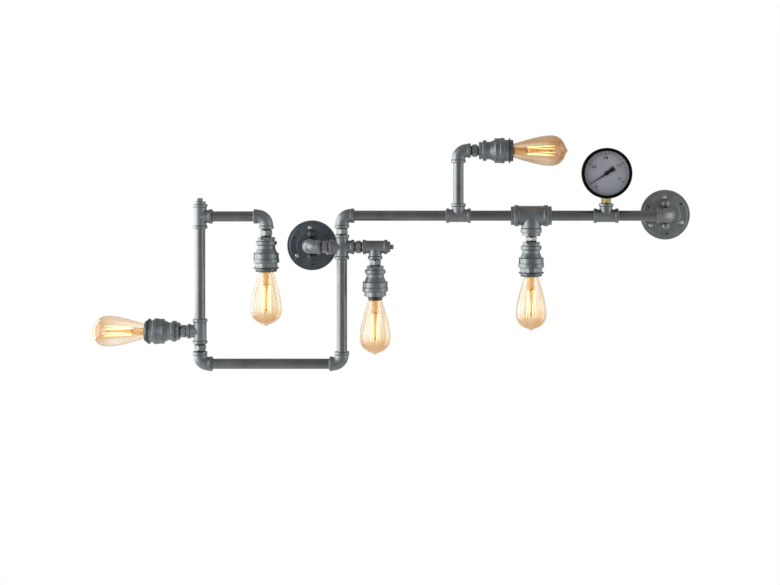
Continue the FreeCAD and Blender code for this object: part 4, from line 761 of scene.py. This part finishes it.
# a helical thread between two heights, closed at its ends
def threadRod(name, low, high):
    clearSelection()
    bpy.ops.mesh.primitive_plane_add(size=nipple["pitch"] * mm)
    rod = named(bpy.context.object, name)
    bpy.ops.object.mode_set(mode="EDIT")
    bpy.ops.mesh.select_mode(type="VERT")
    bpy.ops.mesh.select_all(action="DESELECT")
    bpy.ops.object.mode_set(mode="OBJECT")
    rod.data.vertices[3].select = True
    bpy.ops.object.mode_set(mode="EDIT")
    bpy.ops.mesh.delete(type="VERT")
    bpy.ops.object.mode_set(mode="OBJECT")
    # the three corners left make one turn's outline: root, crest, root
    outline = [
        (2, nipple["root"], low),
        (0, nipple["crest"], low + nipple["pitch"] / 2),
        (1, nipple["root"], low + nipple["pitch"]),
    ]
    for index, radius, height in outline:
        rod.data.vertices[index].co = (radius * mm, 0, height * mm)
    turns = max(1, round((high - low) / nipple["pitch"]) - 1)
    applyModifier(rod, "SCREW", angle=2 * math.pi, screw_offset=nipple["pitch"] * mm, iterations=turns,
                  steps=nipple["sides"], render_steps=nipple["sides"], use_merge_vertices=True)
    bpy.ops.object.mode_set(mode="EDIT")
    bpy.ops.mesh.select_all(action="SELECT")
    bpy.ops.mesh.remove_doubles(threshold=0.01 * mm)
    bpy.ops.mesh.select_all(action="DESELECT")
    bpy.ops.mesh.select_mode(type="EDGE")
    bpy.ops.mesh.select_non_manifold()
    bpy.ops.mesh.fill_holes(sides=0)
    bpy.ops.object.mode_set(mode="OBJECT")
    return rod


# a hexagonal block whose corners are turned down by the two drops, at its low and its high end
def hexagonBlock(name, flats, low, high, drops, soft):
    corner = flats / math.sqrt(3)
    clearSelection()
    bpy.ops.mesh.primitive_cylinder_add(vertices=6, radius=corner * mm, depth=(high - low) * mm,
                                        location=(0, 0, 0))
    block = named(bpy.context.object, name)
    block.rotation_euler = (0, 0, math.radians(30))
    block.location = (0, 0, (low + high) / 2 * mm)
    bpy.ops.object.transform_apply(location=True, rotation=True, scale=True)
    inner = flats / 2
    outer = 2 * corner - inner
    lowDrop, highDrop = drops
    profile = [
        (0, low), (inner, low), (outer, low + lowDrop),
        (outer, high - highDrop), (inner, high), (0, high),
    ]
    spindle = turnProfile(name + "Spindle", profile, 72)
    tidyMesh(spindle)
    applyModifier(block, "BOOLEAN", object=spindle, operation="INTERSECT", solver="EXACT")
    bpy.data.objects.remove(spindle)
    applyModifier(block, "BEVEL", width=soft * mm, segments=2, limit_method="ANGLE",
                  angle_limit=math.radians(28))
    return block


reach = places["reach"]
pipeY = places["pipeY"]
# each nipple: its name, the mouth it starts from, where it points, its showing length, a flat's side
nippleStands = [
    ("crossNipple", (reach, pipeY, 0), right, 18.8, up),
    ("pluggedNipple", (places["crossX"] + reach, pipeY, 0), right, 17.5, up),
    ("upperNipple", (places["crossX"], pipeY, reach), up, 13.5, toRoom),
    ("sideNipple", (places["leftX"], pipeY, places["bottomZ"] + reach), up, 16.1, toRoom),
]
for number, lamp in lamps.items():
    side = sideOf(lamp["out"], toRoom)
    nippleStands.append(("lampNipple_%d" % number, lamp["mouth"], lamp["out"], lamp["span"], side))

for name, mouth, out, span, side in nippleStands:
    bright = name == nipple["brightOne"]
    length = nipple["brightHexagon"] if bright else nipple["hexagon"]
    low = (span - length) / 2
    drop = min(nipple["drop"], length * nipple["dropShare"])
    block = hexagonBlock(name + "Hexagon", nipple["flats"], low, low + length, (drop, drop),
                         nipple["softEdge"])
    rod = threadRod(name + "Rod", -nipple["inside"], span + nipple["inside"])
    # only the bright nipple's hexagon is bright, so its thread is a piece of its own
    pieces = [(block, name, "brightZinc"), (rod, name + "Thread", "fittingIron")]
    if not bright:
        pieces = [(joined(name, [block, rod]), name, "fittingIron")]
    for piece, pieceName, finishName in pieces:
        named(piece, pieceName)
        tidyMesh(piece, 30)
        settle(piece, mouth, standing(out, side))
        finishPiece(piece, "frame", materials[finishName], ["hex_nipples"])
print("nipples ready")


# the fourth lamp has no ring
endRing = {
    "lamps": (1, 2, 3, 5),
    "sides": 72,
    "profile": [
        (17.6, 64.75), (22.5, 64.75), (23.0, 65.25), (22.9, 66.15), (21.8, 66.45), (21.8, 66.95),
        (22.6, 67.25), (21.7, 70.4), (21.0, 71.1), (17.4, 71.1), (16.9, 70.7), (16.9, 69.5),
        (17.6, 69.5), (17.6, 64.75),
    ],
    "knurlLow": 67.25,
    "knurlHigh": 70.5,
    "knurlRadius": 21.3,
    "groove": 0.9,
    "margin": 0.2,
}
ringMaster = turnProfile("ringMaster", endRing["profile"], endRing["sides"])
tidyMesh(ringMaster)
knurlStep = 2 * math.pi / endRing["sides"]


# true for every second face round the knurled band
def inKnurl(face):
    centre = face.center
    around = int((math.atan2(centre.y, centre.x) + math.pi) / knurlStep)
    outside = centre.xy.length > endRing["knurlRadius"] * mm
    inBand = endRing["knurlLow"] * mm < centre.z < endRing["knurlHigh"] * mm
    return around % 2 == 0 and outside and inBand


selectFaces(ringMaster, inKnurl)
bpy.ops.mesh.inset(thickness=endRing["margin"] * mm, depth=-endRing["groove"] * mm, use_individual=True)
bpy.ops.object.mode_set(mode="OBJECT")
tidyMesh(ringMaster, 25)
for number in endRing["lamps"]:
    lamp = lamps[number]
    place = Vector(lamp["mouth"]) + lamp["out"] * lamp["span"]
    stand = standing(lamp["out"], sideOf(lamp["out"]))
    ring = copyOf(ringMaster, "endRing_%d" % number, place, stand)
    finishPiece(ring, "frame", materials["ringIron"], ["end_rings"])
bpy.data.objects.remove(ringMaster)
print("end rings ready")


# heights are above the wall: dome nuts, pan screws with a cross recess, and in the spare holes near-black
# plugs that are painted shade for the dark inside the holes
flangeFasteners = {
    "centres": {"Left": (0, 0, 0), "Right": (744.0, 0, 64.5)},
    "nutCircle": 23.7,
    "nutAngles": (90, 270),
    "nutFlats": 15.1,
    "nutLow": 8.5,
    "nutHigh": 12.5,
    "nutDrops": (0.6, 2.4),
    "nutSoftEdge": 0.25,
    "dome": [
        (0, 8.6), (7.0, 8.6), (7.25, 12.4), (7.1, 13.6), (6.5, 15.2), (5.3, 16.6), (3.6, 17.5),
        (1.8, 17.9), (0, 18.0),
    ],
    "screwCircle": 37.0,
    "screwAngles": (95, 215, 335),
    "screw": [
        (0, 3.4), (2.4, 3.4), (2.4, 6.5), (4.5, 6.5), (4.5, 7.3), (4.25, 8.0), (3.5, 8.65),
        (2.2, 9.0), (0, 9.1),
    ],
    "recess": (3.4, 0.9, 1.4),  # the cross: its length, its width and its depth
    "recessAngles": (25, 115),
    "plugCircle": 40.0,
    "plugAngles": (35, 155, 275),
    "plug": [(0, 3.4), (2.6, 3.4), (2.6, 5.3), (2.3, 5.75), (1.5, 5.9), (1.0, 5.5), (0, 5.4)],
}
nutMaster = hexagonBlock("nutMaster", flangeFasteners["nutFlats"], flangeFasteners["nutLow"],
                         flangeFasteners["nutHigh"], flangeFasteners["nutDrops"],
                         flangeFasteners["nutSoftEdge"])
dome = turnProfile("dome", flangeFasteners["dome"], 48)
tidyMesh(dome, 40)
applyModifier(nutMaster, "BOOLEAN", object=dome, operation="UNION", solver="EXACT")
bpy.data.objects.remove(dome)
tidyMesh(nutMaster, 28)
screwMaster = turnProfile("screwMaster", flangeFasteners["screw"], 40)
tidyMesh(screwMaster, 40)
across, width, depth = flangeFasteners["recess"]
screwTop = flangeFasteners["screw"][-1][1]
for degrees in flangeFasteners["recessAngles"]:
    clearSelection()
    bpy.ops.mesh.primitive_cube_add(size=1, location=(0, 0, 0))
    cutter = bpy.context.object
    cutter.scale = (across * mm, width * mm, 2 * depth * mm)
    cutter.rotation_euler = (0, 0, math.radians(degrees))
    cutter.location = (0, 0, screwTop * mm)
    bpy.ops.object.transform_apply(location=True, rotation=True, scale=True)
    applyModifier(screwMaster, "BOOLEAN", object=cutter, operation="DIFFERENCE", solver="EXACT")
    bpy.data.objects.remove(cutter)
tidyMesh(screwMaster, 28)
plugMaster = turnProfile("plugMaster", flangeFasteners["plug"], 32)
tidyMesh(plugMaster, 40)

kinds = [
    # each dome nut takes its flange's tone, so it carries the same painted shade or painted light
    ("domeNut", nutMaster, "nutCircle", "nutAngles", None),  # a nut has its own flange's finish
    ("panScrew", screwMaster, "screwCircle", "screwAngles", "brightScrew"),
    # the near-black plugs are painted shade for the dark inside the spare holes
    ("holeShadePlug", plugMaster, "plugCircle", "plugAngles", "plugBlack"),
]
for sideName, centre in flangeFasteners["centres"].items():
    for kindName, master, circle, angles, finishName in kinds:
        radius = flangeFasteners[circle]
        for count, degrees in enumerate(flangeFasteners[angles], start=1):
            angle = math.radians(degrees)
            place = (centre[0] + radius * math.cos(angle), 0, centre[2] + radius * math.sin(angle))
            pieceName = "%s%s_%d" % (kindName, sideName, count)
            piece = copyOf(master, pieceName, place, standing(toRoom, right))
            # a flange's own finish here is its tone of painted shade or painted light
            finish = materials[finishName or sideName.lower() + "FlangePaintedLightIron"]
            replaced = [] if kindName == "holeShadePlug" else ["flange_fasteners"]
            finishPiece(piece, "frame", finish, replaced)
for master in (nutMaster, screwMaster, plugMaster):
    bpy.data.objects.remove(master)
print("flange fasteners ready")

# angles are in degrees, anticlockwise from the right
dial = {
    "faceY": -80.8,
    "zeroAngle": 214.0,
    "sweep": 242.0,
    "slack": 2.0,  # how far past the last tick a face still counts as past it, not as before zero
    "majorEvery": 8,
    "steps": 32,
    "sides": 1800,
    "majorHalf": 1.1,  # half widths of the ticks, in degrees
    "minorHalf": 0.6,
    "outerRadius": 41.5,
    "minorRadius": 38.6,
    "majorRadius": 35.8,
    "thickness": 0.12,
    "numberSize": 7.4,
    "boldness": 0.24,
    # each number, its distance from the centre and its angle
    "numbers": [
        ("0", 35.0, 232.0), ("0.4", 29.3, 154.0), ("0.8", 31.5, 93.0), ("1.2", 30.0, 33.0),
        ("1.6", 29.5, -24.0),
    ],
}
gaugeX, gaugeZ = places["gauge"]
rings = [(dial["outerRadius"], 0), (dial["minorRadius"], 0), (dial["majorRadius"], 0)]
tickRing = turnProfile("tickRing", rings, dial["sides"])
perStep = dial["sweep"] / dial["steps"]


# true for the faces of the flat ring that belong to no tick
def offTick(face):
    angle = math.degrees(math.atan2(face.center.y, face.center.x))
    along = (dial["zeroAngle"] - angle) % 360
    if along > dial["sweep"] + dial["slack"]:
        along -= 360
    step = round(along / perStep)
    miss = abs(along - step * perStep)
    if not 0 <= step <= dial["steps"]:
        return True
    if step % dial["majorEvery"] == 0:
        return miss > dial["majorHalf"]
    inner = face.center.length < dial["minorRadius"] * mm
    return inner or miss > dial["minorHalf"]


selectFaces(tickRing, offTick)
bpy.ops.mesh.delete(type="FACE")
bpy.ops.mesh.select_all(action="SELECT")
bpy.ops.mesh.extrude_region_move(TRANSFORM_OT_translate={"value": (0, 0, dial["thickness"] * mm)})
bpy.ops.object.mode_set(mode="OBJECT")
tidyMesh(tickRing, 30)
faceOn = Matrix.Rotation(math.radians(90), 4, "X")
facePlace = (gaugeX, dial["faceY"], gaugeZ)
settle(tickRing, facePlace, faceOn)
finishPiece(named(tickRing, "dialTicks"), "frame", materials["dialPrint"])

figures = []
for text, radius, degrees in dial["numbers"]:
    angle = math.radians(degrees)
    clearSelection()
    bpy.ops.object.text_add(location=(0, 0, 0))
    figure = bpy.context.object
    figure.data.body = text
    figure.data.align_x = "CENTER"
    figure.data.align_y = "CENTER"
    figure.data.size = dial["numberSize"] * mm
    figure.data.extrude = dial["thickness"] / 2 * mm
    figure.data.offset = dial["boldness"] * mm
    spot = Vector((radius * math.cos(angle), radius * math.sin(angle), dial["thickness"] / 2))
    figure.location = spot * mm
    bpy.ops.object.convert(target="MESH")
    figures.append(bpy.context.object)
numbersPiece = joined("dialNumbers", figures)
bpy.ops.object.transform_apply(location=True, rotation=True, scale=True)
tidyMesh(numbersPiece, 30)
settle(numbersPiece, facePlace, faceOn)
finishPiece(numbersPiece, "frame", materials["dialPrint"])
print("gauge dial ready")

print("scene ready")
